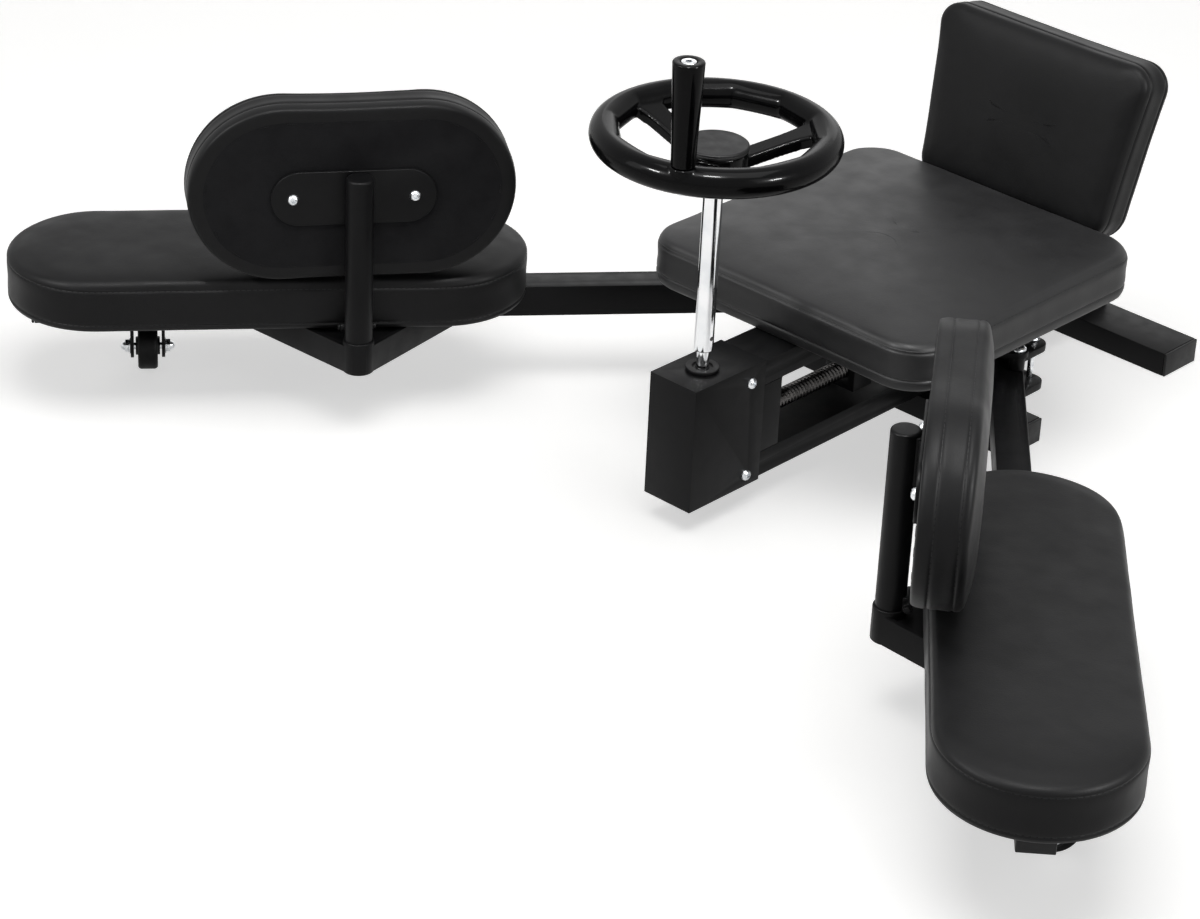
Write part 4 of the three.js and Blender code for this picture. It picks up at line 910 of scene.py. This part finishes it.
def stuff(points, faces, held):
    """Cloth under pressure. The seams and the stapled edge are held, and no point moves beyond SWELL."""
    frames = 20
    bag = in_scene("stuffing", mesh_from("stuffing", points, faces))
    bag.vertex_groups.new(name="sewn").add(held, 1.0, "REPLACE")
    cloth = bag.modifiers.new("cloth", "CLOTH")
    set_all(cloth.settings, {
        "quality": 5, "mass": 0.25, "tension_stiffness": 22, "compression_stiffness": 22,
        "shear_stiffness": 12, "bending_stiffness": 1.2, "vertex_group_mass": "sewn",
        "use_pressure": True, "uniform_pressure_force": 4.0})
    cloth.settings.effector_weights.gravity = 0
    cloth.point_cache.frame_start, cloth.point_cache.frame_end = 1, frames
    for step in range(1, frames + 1):
        scene.frame_set(step)
    result = bag.evaluated_get(bpy.context.evaluated_depsgraph_get()).data
    moved = np.array([v.co for v in result.vertices])
    scene.frame_set(1)
    bpy.data.objects.remove(bag)
    shift = evened(moved - points, faces, held)
    far = np.linalg.norm(shift, axis=1, keepdims=True)
    return points + shift * np.minimum(1, SWELL / np.maximum(far, 1e-9))


def evened(shift, faces, held):
    """The foam spreads the cover's folds: each point's shift is drawn towards those of its neighbours."""
    rounds = 30
    pairs = np.array([pair for face in faces for pair in zip(face, [*face[1:], face[0]])])
    ends = np.concatenate([pairs, pairs[:, ::-1]])
    counts = np.bincount(ends[:, 0], minlength=len(shift))[:, None]
    for _ in range(rounds):
        around = np.zeros_like(shift)
        np.add.at(around, ends[:, 0], shift[ends[:, 1]])
        shift = 0.5 * shift + 0.5 * around / np.maximum(counts, 1)
        shift[held] = 0
    return shift


def slackened(mesh, held):
    """Gives the cover its slight unevenness: long soft waves under finer puckers, none where it is held."""
    normals = [v.normal.copy() for v in mesh.vertices]
    still = set(held)
    for vertex, normal in zip(mesh.vertices, normals):
        if vertex.index in still:
            continue
        waves = perlin.noise(vertex.co * 18) + 0.35 * perlin.noise(vertex.co * 70)
        vertex.co += normal * waves * UNEVEN


def dust_cover(name, place, size, keep_clear, along_clear, staple_finish):
    """The cloth stapled over the board, its hem a little wavy. Staples run round it except where something
    crosses the pad's edge."""
    skirt, taper = size.get("skirt", 0.0), size.get("taper", 0.0)
    outline = rounded_outline(size["length"], size["width"], size["corner"], DUST_INSET)
    count, hem = len(outline), []
    for k, (x, y) in enumerate(outline):
        wide = 1 + 2 * taper * x / size["length"]
        ripple = 1 + 0.006 * perlin.noise(Vector((k * 0.31, 0, count)))
        hem.append((x * ripple, y * wide * ripple))
    outside, inside = skirt - 0.00024, skirt - 0.00006
    points = [(x, y, z) for z in (outside, inside) for x, y in hem]
    low, high = list(range(count)), list(range(count, 2 * count))
    faces = [[low[i - 1], low[i], high[i], high[i - 1]] for i in range(count)]
    faces += [face[::-1] for face in bridged(low, points)] + bridged(high, points)
    cloth = put(closed(mesh_from(name, points, faces)), place)
    piece(f"{name}_dust_cover", cloth, BODY_OF[name], "vinyl", material=DUST_COVER)
    spots, last = [], None
    for k, (x, y) in enumerate(hem):
        here = Vector((x * STAPLE_LINE, y * STAPLE_LINE, outside))
        if last is not None and (here - last).length < STAPLE_SPACING:
            continue
        last = here
        if abs(here.y) < keep_clear and (along_clear or here.x < 0):
            continue
        run = Vector((x - hem[k - 1][0], y - hem[k - 1][1], 0)).normalized()
        spots.append(spot(place, here, (0, 0, -1), run))
    staple = slab("staple", (-5, -0.35, -0.2), (5, 0.35, 0.35), 0.15)
    fastenings(f"{name}_staples", staple, spots, BODY_OF[name], "chrome", staple_finish)


def upholster(name, place, size, keep_clear=0.0, along_clear=True, notch=None, vinyl=VINYL,
              staple_finish=ZINC):
    """One upholstered pad on its board: stuffed cover, seams with their stitches, dust cover, staples."""
    points, faces, seams, held = cushion_mesh(**size)
    points = stuff(points, faces, held)
    mesh = mesh_from(name, points, faces)
    slackened(mesh, held)
    paths = [[place @ mesh.vertices[i].co for i in ring] for ring in seams]
    mesh = evaluated(mesh, ("SUBSURF", {"levels": 1, "render_levels": 1}))
    if notch:
        mesh = cut_by(mesh, slab("notch", *notch))
    cover = stands_for(name, mesh, place, vinyl, 60, "cover")
    thread = grown(f"{name}_stitches", line_through(paths, True), STITCHES, Spacing=0.006,
                   Stitch_Length=0.0042, Thread_Radius=0.0004, Thread=THREAD)
    piece(f"{name}_stitches", thread, BODY_OF[name], "vinyl", material=THREAD)
    dust_cover(name, place, size, keep_clear, along_clear, staple_finish)


LEG_PAD = dict(length=0.554, width=0.190, corner=0.095, thickness=0.056, crown=0.004, skirt=0.0098,
               seams=(0.14, 0.84))
UPRIGHT_PAD = dict(length=0.343, width=0.196, corner=0.098, thickness=0.048, crown=0.006, seams=(0.32, 0.79))
SEAT = dict(length=0.383, width=0.380, corner=0.044, thickness=0.051, crown=0.008, seams=(0.26, 0.86))
BACKREST = dict(length=0.205, width=0.270, corner=0.030, thickness=0.050, crown=0.005, taper=0.07)

# the seat wears the vinyl painted paler, a painted sheen for the light on its top
upholster("seat_cushion", at(0, -0.0605, 0.1626) @ turn(90, "Z"), SEAT, keep_clear=0.032, vinyl=SEAT_VINYL_PAINTED_SHEEN)
back_place = at(0, 0.139, 0.188) @ turn(-12, "X") @ at(0, 0.042, 0.1025) @ turn(90, "Z") @ turn(-90, "Y")
upholster("backrest_cushion", back_place, BACKREST, keep_clear=0.028, along_clear=False)
for side in SIDES:
    upholster(f"leg_pad_cushion_{side}", arm_place(side, 0.627, 0, 0.1015), LEG_PAD, keep_clear=0.022,
              notch=((-285, -18.5, -5), (-264, 18.5, 9.8)))
    pad_place = upright_place(side) @ at(0.004, 0.0188, 0.2645) @ turn(-90, "X")
    upholster(f"upright_cushion_{side}", pad_place, UPRIGHT_PAD, staple_finish=STEEL)
